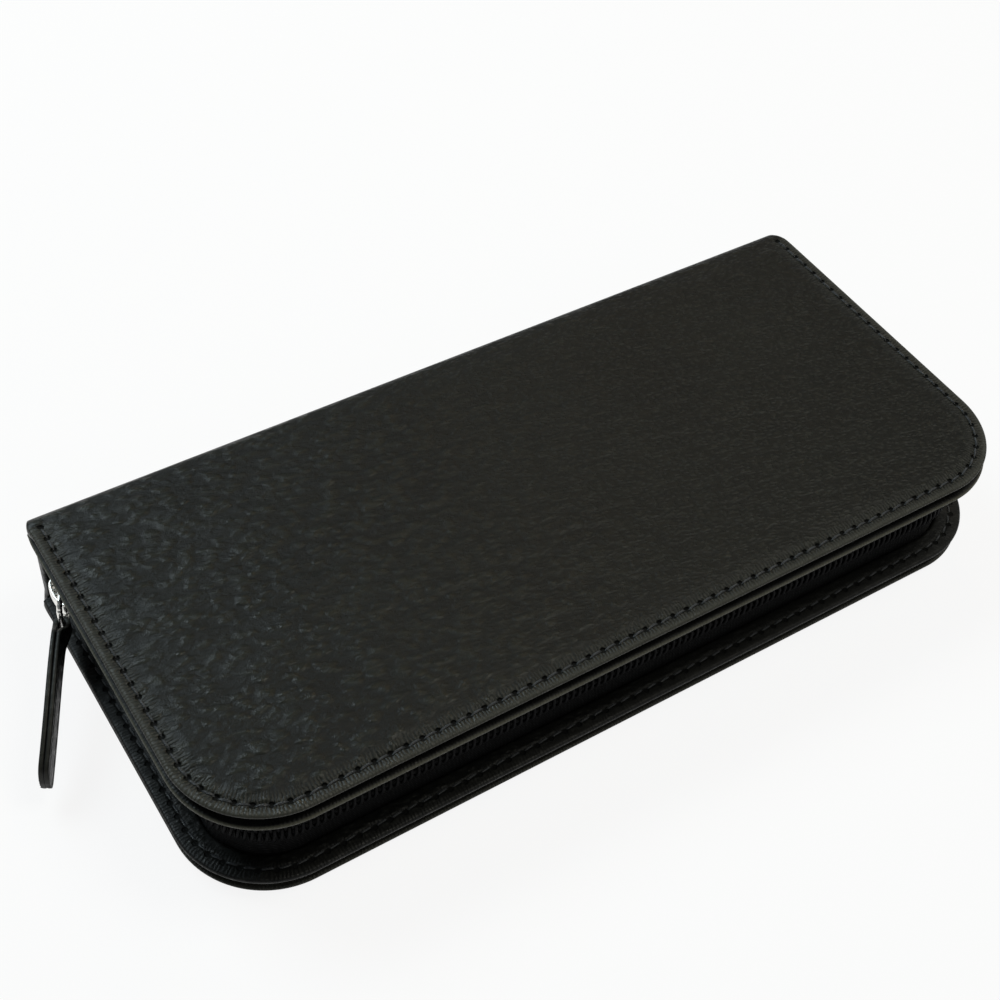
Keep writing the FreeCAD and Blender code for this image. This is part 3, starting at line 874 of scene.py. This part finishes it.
def strap_fall(distance):
    """How far the strap has sunk at a distance from the ring."""
    share = np.maximum(0.0, (distance - STRAP_FLAT) / (STRAP_LENGTH - STRAP_FLAT))
    return STRAP_DROP * share * share


def strap_route():
    """(distance, side) along the strip: one face to the ring, round it, and back on the other face."""
    half = STRAP_PLY / 2
    loop = RING_WIRE + STRAP_LOOP_GAP + half
    inner = half + STRAP_GAP
    runs = np.linspace(STRAP_LENGTH, 0.0, 60)
    side = inner + (loop - inner) * smooth((STRAP_TAPER - runs) / STRAP_TAPER)
    angle = np.linspace(math.pi / 2, 3 * math.pi / 2, 22)[1:-1]
    bend = np.column_stack([loop * np.cos(angle), loop * np.sin(angle)])
    return np.concatenate([np.column_stack([runs, side]), bend, np.column_stack([runs, -side])[::-1]])


def on_ring(distance, side, height):
    """Place on the strap, which bows a little and whose narrow loop has slid down the ring's bar."""
    share = np.clip(distance / STRAP_LENGTH, 0, 1)
    bow = STRAP_BOW * np.sin(math.pi * share) * share
    spot = STRAP_AT + PULL * float(distance) + PULL_SIDE * float(side + bow)
    slid = STRAP_SLIDE * (1 - smooth(distance / STRAP_TAPER))
    return (spot.x, spot.y, MID + height - slid)


def strap_section():
    """(height, thickness) outline of one ply, with a groove under each stitch row of its outer face."""
    flat = STRAP_WIDTH / 2 - STRAP_ROUND
    half = STRAP_PLY / 2
    groove = STRAP_WIDTH / 2 - STRAP_STITCH_EDGE
    outer = []
    for height in np.linspace(-flat, flat, 31):
        outer.append((height, half - STRAP_GROOVE * bell(abs(height) - groove, STRAP_GROOVE_SPREAD)))
    edge = []
    for k in range(1, 8):
        angle = math.pi * k / 8
        edge.append((flat + STRAP_ROUND * math.sin(angle), half * math.cos(angle)))
    under = [(flat, -half), (0.0, -half), (-flat, -half)]
    return outer + edge + under + [(-height, -thick) for height, thick in edge]


def pull_strap():
    """Leather strip folded round the ring's bar, with its two plies sewn together."""
    route = strap_route()
    outline = strap_section()
    sections = []
    marks = []
    for (distance, side), (da, ds) in zip(route, directions(route)):
        past = max(0.0, distance - (STRAP_LENGTH - STRAP_TIP))
        half_width = STRAP_WIDTH / 2 - STRAP_TIP + math.sqrt(max(0.0, STRAP_TIP ** 2 - past ** 2))
        half_width *= STRAP_NECK + (1 - STRAP_NECK) * smooth(distance / STRAP_TAPER)
        narrow = half_width / (STRAP_WIDTH / 2)
        section = []
        for height, thick in outline:
            level = height * narrow - strap_fall(distance)
            section.append(on_ring(distance + ds * thick, side - da * thick, level))
            marks.append((-FAR_INSET, half_width - abs(height * narrow) + NO_HIGHLIGHT_SHIFT))
        sections.append(section)
    return make_object("strap_leather", *loft(sections), np.array(marks))


def strap_threads():
    """Stitches along both edges of the strap, on both faces."""
    parts = []
    first = STRAP_TAPER + STRAP_STITCH_START
    count = int((STRAP_LENGTH - STRAP_TIP - first) / STITCH_PITCH)
    share = np.linspace(-1, 1, 9)
    for edge in (-1, 1):
        for side in (-1, 1):
            for i in range(count):
                distance = first + (i + 0.5 + STRAP_STITCH_SHARE * share) * STITCH_PITCH
                level = edge * (STRAP_WIDTH / 2 - STRAP_STITCH_EDGE) - strap_fall(distance)
                out = side * (STRAP_PLY + STRAP_GAP - 0.1 - 0.35 * np.abs(share) ** 4)
                parts.append(tube([on_ring(d, o, h) for d, o, h in zip(distance, out, level)], STRAP_THREAD))
    return make_object("strap_stitches", *joined(parts))


# Inside

def lane_centres():
    reach = LANE_RADIUS + BAND_THICKNESS + BAND_HEM
    return np.linspace(band_low.y + reach, band_high.y - reach, LANES).tolist()


def pen_band(name, middle):
    """Ribbed elastic, sewn flat between the arches that hold the pens."""
    half = BAND_THICKNESS / 2
    base = lining_high.z + half
    centre = lining_high.z + LANE_RISE
    radius = LANE_RADIUS + half
    leg = [(-radius - reach, base + rise) for reach, rise in BAND_FOOT]
    leg += [(-radius, z) for z in np.linspace(base + BAND_LEG, centre, 5)]
    angles = np.linspace(math.pi, 0, 25)[1:-1]
    arc = [(radius * math.cos(a), centre + radius * math.sin(a)) for a in angles]
    arch = leg + arc + [(-across, z) for across, z in leg[::-1]]
    path = [(band_low.y, base)]
    for y in lane_centres():
        path += [(y + across, z) for across, z in arch]
    path.append((band_high.y, base))
    width = band_high.x - band_low.x
    top = [(width * (k / BAND_RIBS - 0.5), half - RIB_DEPTH * (k % 2)) for k in range(BAND_RIBS + 1)]
    outline = top + [(-w, -t) for w, t in top]
    sections = []
    for (y, z), (dy, dz) in zip(path, directions(path)):
        sections.append([(middle + w, y - dz * t, z + dy * t) for w, t in outline])
    return make_object(name, *loft(sections))


def seam_line(start, end, level, sign):
    """Row of stitches along a straight seam, each dipping at both ends."""
    start = np.array(start)
    end = np.array(end)
    count = int(np.linalg.norm(end - start) / STITCH_PITCH)
    share = np.linspace(-1, 1, 7)
    heights = level - sign * SEAM_DIP * np.abs(share) ** 3
    threads = []
    for i in range(count):
        plan = start + (end - start) * ((i + 0.5 + SEAM_SHARE / 2 * share) / count)[:, None]
        threads.append(tube(np.column_stack([plan, heights]), SEAM_THREAD))
    return threads


def band_threads():
    lanes = lane_centres()
    outer = LANE_RADIUS + BAND_THICKNESS + BAND_HEM / 2
    seams = [lanes[0] - outer] + [(a + b) / 2 for a, b in zip(lanes, lanes[1:])] + [lanes[-1] + outer]
    level = lining_high.z + BAND_THICKNESS + SEAM_LIFT
    near = band_low.x + BAND_SEAM_INSET
    far = band_high.x - BAND_SEAM_INSET
    parts = []
    for left, right in ((-far, -near), (near, far)):
        for y in seams:
            parts += seam_line((left, y), (right, y), level, 1)
    return make_object("band_threads", *joined(parts))


def pocket_panel():
    """Flat pocket on the lid's lining, with a folded, slightly slack mouth."""
    xs = np.linspace(pocket_low.x, pocket_high.x, 90)
    ys = np.linspace(pocket_low.y, pocket_high.y, 40)
    high = pocket_high.z
    low = pocket_low.z
    points = []

    def add_row(y, heights):
        first = len(points)
        points.extend(zip(xs, np.full_like(xs, y), heights))
        return list(range(first, len(points)))

    under = []
    for y in ys:
        mouth = smooth((y - (pocket_high.y - MOUTH_START)) / MOUTH_RUN)
        inside = np.minimum(np.minimum(xs - xs[0], xs[-1] - xs), y - ys[0])
        edge = np.clip(inside / POCKET_ROUND, 0, 1)
        slack = POCKET_SLACK * mouth * np.sin(math.pi * (xs - xs[0]) / (xs[-1] - xs[0])) ** 2
        under.append(add_row(y, low - slack + (1 - np.sqrt(1 - (1 - edge) ** 2)) * (high - low)))
    front, back = [add_row(y, np.full_like(xs, high)) for y in (ys[0], ys[-1])]
    faces = strip_faces(under) + strip_faces([front, back])
    faces += strip_faces([front, under[0]]) + strip_faces([under[-1], back])
    faces.append(tuple([front[0]] + [row[0] for row in under] + [back[0]]))
    faces.append(tuple([back[-1]] + [row[-1] for row in under[::-1]] + [front[-1]]))
    return make_object("pocket_panel", points, faces)


def pocket_threads():
    level = pocket_low.z - SEAM_LIFT
    left = pocket_low.x + POCKET_SEAM_INSET
    right = pocket_high.x - POCKET_SEAM_INSET
    front = pocket_low.y + POCKET_SEAM_INSET
    back = pocket_high.y - POCKET_SEAM_INSET
    corners = [(left, back), (left, front), (right, front), (right, back)]
    parts = []
    for start, end in zip(corners, corners[1:]):
        parts += seam_line(start, end, level, -1)
    return make_object("pocket_threads", *joined(parts))


# Materials

class Nodes:
    """A material's node tree, with short calls to add and link nodes."""

    def __init__(self, name):
        self.material = bpy.data.materials.new(name)
        self.material.use_nodes = True
        self.tree = self.material.node_tree
        self.shader = self.tree.nodes["Principled BSDF"]

    def feed(self, socket, value):
        """Links an output to a socket, or sets the socket to a constant."""
        if isinstance(value, bpy.types.NodeSocket):
            self.tree.links.new(value, socket)
        else:
            socket.default_value = value

    def add(self, kind, inputs, **settings):
        node = self.tree.nodes.new("ShaderNode" + kind)
        for key, value in settings.items():
            setattr(node, key, value)
        for key, value in inputs.items():
            self.feed(node.inputs[key], value)
        return node

    def set(self, **values):
        for key, value in values.items():
            self.feed(self.shader.inputs[key.replace("_", " ")], value)

    def mark(self, name):
        return self.add("Attribute", {}, attribute_name=name).outputs["Vector"]

    def scaled(self, vector, scale):
        return self.add("VectorMath", {0: vector, 1: scale}, operation="MULTIPLY").outputs[0]

    def place(self, scale=(1, 1, 1)):
        """Rest place in millimetres, scaled."""
        return self.scaled(self.mark("rest_place"), scale)

    def grain(self, scale):
        """Rest place in millimetres, turned to the leather's streaks and scaled."""
        inputs = {"Vector": self.mark("rest_place"), "Angle": GRAIN_TURN}
        return self.scaled(self.add("VectorRotate", inputs, rotation_type="Z_AXIS").outputs[0], scale)

    def split(self, vector):
        return self.add("SeparateXYZ", {0: vector}).outputs

    def noise(self, vector, scale, detail=2.0, rough=0.5, output="Fac"):
        inputs = {"Vector": vector, "Scale": scale, "Detail": detail, "Roughness": rough}
        return self.add("TexNoise", inputs).outputs[output]

    def wave(self, vector, scale, direction, distortion=0.0):
        inputs = {"Vector": vector, "Scale": scale, "Distortion": distortion}
        return self.add("TexWave", inputs, bands_direction=direction).outputs["Fac"]

    def pebbles(self, vector, size):
        """Rounded cells, 1 in their middle and 0 between them."""
        cells = self.add("TexVoronoi", {"Vector": vector, "Scale": 1 / size}, feature="SMOOTH_F1")
        return self.remap(cells.outputs["Distance"], 0.0, 0.62, 1.0, 0.0)

    def remap(self, value, low, high, to_low, to_high):
        inputs = {"Value": value, "From Min": low, "From Max": high, "To Min": to_low, "To Max": to_high}
        return self.add("MapRange", inputs, interpolation_type="SMOOTHSTEP").outputs["Result"]

    def math(self, operation, first, second=0.0):
        return self.add("Math", {0: first, 1: second}, operation=operation).outputs[0]

    def plus(self, first, second):
        return self.math("ADD", first, second)

    def minus(self, first, second):
        return self.math("SUBTRACT", first, second)

    def times(self, first, second):
        return self.math("MULTIPLY", first, second)

    def colours(self, share, low, high):
        """Base colour between two tones; low may be the output of another mix."""
        node = self.add("Mix", {0: share}, data_type="RGBA")
        first, second = [socket for socket in node.inputs if socket.type == "RGBA"]
        self.feed(first, (*low, 1) if isinstance(low, tuple) else low)
        self.feed(second, (*high, 1))
        mixed = [socket for socket in node.outputs if socket.type == "RGBA"][0]
        self.set(Base_Color=mixed)
        return mixed

    def bump(self, height, distance):
        node = self.add("Bump", {"Strength": 1.0, "Distance": distance * MM, "Height": height})
        self.set(Normal=node.outputs["Normal"])


def stitch_marks(n):
    """Stitch hole, pleats beside the stitch line, inset and share of gathering, at each place of the rim."""
    station, inset = n.split(n.mark("rim_place"))[:2]
    halfway = n.math("ABSOLUTE", n.minus(station, RIM_LENGTH / 2))
    on_rim = n.math("LESS_THAN", halfway, RIM_LENGTH / 2 + HOLE_RADIUS)
    away = n.math("PINGPONG", n.math("DIVIDE", station, STITCH_STEP), 0.5)
    along = n.times(away, STITCH_STEP / HOLE_RADIUS)
    across = n.math("DIVIDE", n.minus(inset, STITCH_INSET), HOLE_RADIUS)
    radial = n.plus(n.times(along, along), n.times(across, across))
    hole = n.times(n.remap(radial, 0.4, 1.7, 1.0, 0.0), on_rim)
    jitter = n.times(n.noise(n.place(), 0.8), 9.0)
    phase = n.plus(n.times(station, 2 * math.pi / PLEAT_PITCH), jitter)
    fade = n.times(n.remap(inset, 3.0, 5.6, 1.0, 0.0), on_rim)
    return hole, n.times(n.math("SINE", phase), fade), inset, fade


def leather_material(name, dark, grain_and_highlight, edge, near, far, pleat_highlight_share, cell_left, cell_right, depth, rough):
    """Pebbled leather: larger, shinier pebbles towards the left end, finer ones to the right."""
    n = Nodes(name)
    place = n.place()
    warp = n.noise(place, 0.5, 3.0, output="Color")
    inputs = {0: warp, 1: (0.7, 0.7, 0.7), 2: n.grain((GRAIN_STRETCH, 1.0, 1.0))}
    shifted = n.add("VectorMath", inputs, operation="MULTIPLY_ADD").outputs[0]
    large = n.pebbles(shifted, cell_left)
    small = n.pebbles(shifted, cell_right)
    patch = n.noise(place, 0.035)
    drift = n.minus(n.times(patch, 70.0), 35.0)
    rightward = n.remap(n.plus(n.split(place)["X"], drift), -75.0, 45.0, 0.0, 1.0)
    pebble = n.plus(n.times(large, n.remap(rightward, 0.0, 1.0, 0.8, 0.2)),
                    n.times(small, n.remap(rightward, 0.0, 1.0, 0.2, 0.5)))
    streak = n.noise(n.grain((0.09, 0.42, 0.42)), 1.0, 1.0)
    pores = n.noise(place, 4.0)
    hole, pleats, inset, gathered = stitch_marks(n)
    height = n.plus(pebble, n.times(pores, 0.3))
    height = n.times(height, n.remap(inset, 1.8, 3.2, 0.2, 1.0))
    height = n.plus(height, n.times(streak, 1.4))
    height = n.plus(height, n.times(pleats, 0.16))
    n.bump(n.minus(height, n.times(hole, 2.0)), depth)
    # pebble tops painted lighter than the dark between them: partly grain, partly painted highlight; the
    # larger pebbles at the left end give a painted sheen there
    tone = n.plus(n.remap(pebble, 0.0, 0.9, 0.0, 0.75), n.times(patch, 0.25))
    # pleats and gathered leather beside the stitch line are painted lighter as a painted highlight, kept off
    # the holes
    painted_gather_highlight = n.minus(n.times(n.plus(pleats, gathered), pleat_highlight_share), hole)
    # stitch holes painted dark as painted shade in the holes
    colour = n.colours(n.minus(tone, hole), dark, grain_and_highlight)
    colour = n.colours(painted_gather_highlight, colour, edge)
    # painted highlight on the bead and the ridge: the edge tone, full up to the inset near and gone at the
    # inset far
    n.colours(n.remap(inset, near, far, 1.0, 0.0), colour, edge)
    worn = n.minus(rough + 0.17, n.times(pebble, 0.2))
    worn = n.plus(worn, n.times(hole, 0.4))
    n.set(Roughness=n.plus(worn, n.times(rightward, 0.06)), Specular_IOR_Level=0.2)
    return n.material


def thread_material():
    n = Nodes("waxed_thread")
    twist = n.wave(n.place(), 1.6, "DIAGONAL", 1.0)
    n.colours(twist, *THREAD_TONES)
    n.bump(twist, 0.05)
    n.set(Roughness=n.remap(twist, 0.0, 1.0, 0.48, 0.33), Specular_IOR_Level=0.5)
    return n.material


def woven_material(name, tones, across, along, depth):
    """Cloth with crossing yarns."""
    n = Nodes(name)
    place = n.place()
    warp = n.wave(place, across, "Z")
    weft = n.wave(n.scaled(place, (1, 1, 0.15)), along, "DIAGONAL")
    fuzz = n.noise(place, 9.0, 3.0)
    height = n.plus(n.times(warp, weft), n.times(fuzz, 0.4))
    n.colours(height, *tones)
    n.bump(height, depth)
    n.set(Roughness=n.remap(fuzz, 0.2, 0.8, 0.8, 0.95), Specular_IOR_Level=0.15)
    n.set(Sheen_Weight=0.03, Sheen_Roughness=0.5)
    return n.material


def coil_material():
    n = Nodes("nylon_coil")
    speck = n.noise(n.place(), 2.2, 3.0)
    n.colours(speck, *COIL_TONES_AND_SHADE)
    n.bump(speck, 0.02)
    n.set(Roughness=n.remap(speck, 0.3, 0.7, 0.42, 0.58), Specular_IOR_Level=0.06)
    return n.material


def metal_material():
    """Bright nickel with faint polishing marks."""
    n = Nodes("bright_nickel")
    polish = n.noise(n.place((0.6, 3.0, 0.6)), 2.4, 4.0, 0.6)
    n.colours(polish, *METAL_TONES)
    n.bump(polish, 0.008)
    n.set(Roughness=n.remap(polish, 0.3, 0.7, 0.2, 0.36), Metallic=1.0)
    return n.material


def suede_material():
    n = Nodes("lining_suede")
    nap = n.noise(n.place(), 7.0, 4.0, 0.7)
    brushed = n.noise(n.place((0.05, 0.09, 0.09)), 1.0, 3.0)
    n.colours(n.plus(n.times(nap, 0.5), n.times(brushed, 0.6)), *SUEDE_TONES)
    n.bump(nap, 0.08)
    n.set(Roughness=n.remap(nap, 0.2, 0.8, 0.82, 0.98), Specular_IOR_Level=0.15)
    n.set(Sheen_Weight=0.35, Sheen_Roughness=0.4)
    return n.material


def solid_material(name, tones, scale, rough):
    """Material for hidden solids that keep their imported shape."""
    n = Nodes(name)
    place = n.add("TexCoord", {}).outputs["Object"]
    grain = n.noise(n.scaled(place, (1 / MM, 1 / MM, 1 / MM)), scale, 3.0)
    n.colours(grain, *tones)
    n.bump(grain, 0.05)
    n.set(Roughness=n.remap(grain, 0.2, 0.8, rough - 0.05, rough + 0.05))
    return n.material


# The case

def dress(piece, material, body, slot, *nodes):
    """Gives a piece its material and body, and hides the solids that it stands for; slot is not used."""
    piece.data.materials.append(material)
    if body:
        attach(piece, body)
    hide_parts(*nodes)
    return piece


def keep_solid(name, material):
    """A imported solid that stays, with slightly rounded edges."""
    solid = frame["nodes"][name]
    solid.data.materials.clear()
    solid.data.materials.append(material)
    bevel = solid.modifiers.new("soft_edges", "BEVEL")
    bevel.width = SOLID_BEVEL * MM
    bevel.segments = 2


def build_sheets():
    """Leather and lining, which bend at the folds."""
    leather = leather_material("pebbled_leather", **COVER_LOOK)
    suede = suede_material()
    lower = dress(leather_cover("lower_leather", False), leather, None, "leather", "bottom_cover",
                  "bottom_padding", "spine_cover")
    upper = dress(leather_cover("upper_leather", True), leather, None, "leather", "top_cover", "top_padding")
    inside = dress(lining_sheet("lower_lining", False), suede, None, "lining", "bottom_lining",
                   "spine_lining")
    above = dress(lining_sheet("upper_lining", True), suede, None, "lining", "top_lining")
    for piece in (lower, inside):
        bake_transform(piece)
    for piece in (upper, above):
        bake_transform(piece)
    return suede


def build_case():
    suede = build_sheets()
    trim = leather_material("trim_leather", **TRIM_LOOK)
    thread = thread_material()
    tape = woven_material("zip_tape_weave", TAPE_TONES_AND_SHADE, 0.55, 0.8, 0.12)
    elastic = woven_material("elastic_weave", ELASTIC_TONES, 0.4, 1.1, 0.1)
    coil = coil_material()
    metal = metal_material()
    board = solid_material("raw_board", BOARD_TONES, 0.8, 0.85)
    nickel = solid_material("stop_nickel", STOP_TONES, 1.5, 0.3)

    for side, body, flip, half in (("lower", "base", False, "bottom"), ("upper", "lid", True, "top")):
        dress(rim_facing(side + "_facing", flip), trim, body, "trim_leather", half + "_rim_facing")
        dress(rim_threads(side + "_threads", flip), thread, body, "thread", half + "_rim_stitching")
        dress(zip_tape(side + "_tape", flip), tape, body, "zip_tape", side + "_zip_tape")
        shift = 0.5 if flip else 0.0
        dress(zip_coil(side + "_coil", flip, shift), coil, body, "zip_coil", side + "_zip_coil")
        keep_solid(half + "_board", board)
        keep_solid(side + "_top_stop", nickel)
    keep_solid("zip_bottom_stop", nickel)
    keep_solid("spine_board", board)

    dress(slider_body(), metal, "slider", "metal", "slider_body")
    dress(slider_crown(), metal, "slider", "metal", "slider_crown")
    dress(pull_ring(), metal, "ring", "metal", "pull_ring")
    dress(pull_strap(), trim, "strap", "trim_leather", "pull_strap")
    dress(strap_threads(), thread, "strap", "thread", "pull_stitching")

    middle = (band_low.x + band_high.x) / 2
    dress(pen_band("left_band", -middle), elastic, "base", "elastic", "pen_band_left")
    dress(pen_band("right_band", middle), elastic, "base", "elastic", "pen_band_right")
    dress(band_threads(), thread, "base", "thread", "band_stitching")
    pocket = dress(pocket_panel(), suede, "lid", "lining", "slip_pocket")
    dress(pocket_threads(), thread, "lid", "thread", "pocket_stitching")


# Stage, light and camera

def floor_material():
    """White to the camera and in reflections, with a share left for the soft shadow."""
    n = Nodes("floor_white")
    n.set(Base_Color=FLOOR_TONE, Roughness=0.9, Specular_IOR_Level=0.0)
    glow = n.add("Emission", {"Strength": 1.0})
    rays = n.add("LightPath", {}).outputs
    seen = n.math("MAXIMUM", rays["Is Camera Ray"], rays["Is Glossy Ray"])
    seen = n.math("MAXIMUM", seen, rays["Is Transmission Ray"])
    mix = n.add("MixShader", {"Fac": n.times(seen, FLOOR_GLOW), 1: n.shader.outputs[0], 2: glow.outputs[0]})
    n.feed(n.tree.nodes["Material Output"].inputs["Surface"], mix.outputs[0])
    return n.material


def make_floor():
    """Pale round floor with a raised edge."""
    points = [(0, 0, 0)]
    rows = []
    for radius, height in FLOOR_RINGS:
        rows.append(list(range(len(points), len(points) + FLOOR_SIDES)))
        points += [(radius * c, radius * s, height) for c, s in circle(FLOOR_SIDES)]
    faces = [(0, a, b) for a, b in zip(rows[0], rows[0][1:] + rows[0][:1])]
    mesh = bpy.data.meshes.new("floor")
    mesh.from_pydata(points, [], faces + strip_faces(rows, closed=True))
    for polygon in mesh.polygons:
        polygon.use_smooth = True
    mesh.materials.append(floor_material())
    floor = add_to_scene("floor", mesh)
    floor.location.z = -FLOOR_DROP


def make_light():
    world = bpy.data.worlds.new("studio")
    world.use_nodes = True
    sky = world.node_tree.nodes["Background"].inputs
    sky["Color"].default_value = WORLD_COLOUR
    sky["Strength"].default_value = WORLD_LEVEL
    bpy.context.scene.world = world
    for name, place, target, size, watts, colour in LAMPS:
        lamp = bpy.data.lights.new(name, "AREA")
        lamp.shape = "RECTANGLE"
        lamp.size, lamp.size_y = size
        lamp.energy = watts
        lamp.color = colour
        piece = add_to_scene(name, lamp)
        piece.location = place
        piece.rotation_euler = (Vector(target) - Vector(place)).to_track_quat("-Z", "Y").to_euler()


def make_camera():
    level = math.cos(ELEVATION)
    back = Vector((math.sin(AZIMUTH) * level, -math.cos(AZIMUTH) * level, math.sin(ELEVATION)))
    right = Vector((math.cos(AZIMUTH), math.sin(AZIMUTH), 0))
    up = back.cross(right)
    side = math.cos(ROLL) * right + math.sin(ROLL) * up
    upright = -math.sin(ROLL) * right + math.cos(ROLL) * up
    x, y, z = CAMERA_OFFSET
    place = side * x + upright * y + back * z + Vector((0, FRONT - FITTED_FRONT, RIM))
    lens = bpy.data.cameras.new("photo_view")
    lens.sensor_width = SENSOR
    lens.lens = FOCAL_PIXELS / FRAME_PIXELS * SENSOR
    lens.clip_start = 0.01
    camera = add_to_scene("photo_view", lens)
    turn = Matrix((side, upright, back)).transposed().to_4x4()
    camera.matrix_world = Matrix.Translation(place * MM) @ turn
    bpy.context.scene.camera = camera


bpy.context.scene.view_settings.view_transform = "Standard"
build_case()
make_floor()
make_light()
make_camera()
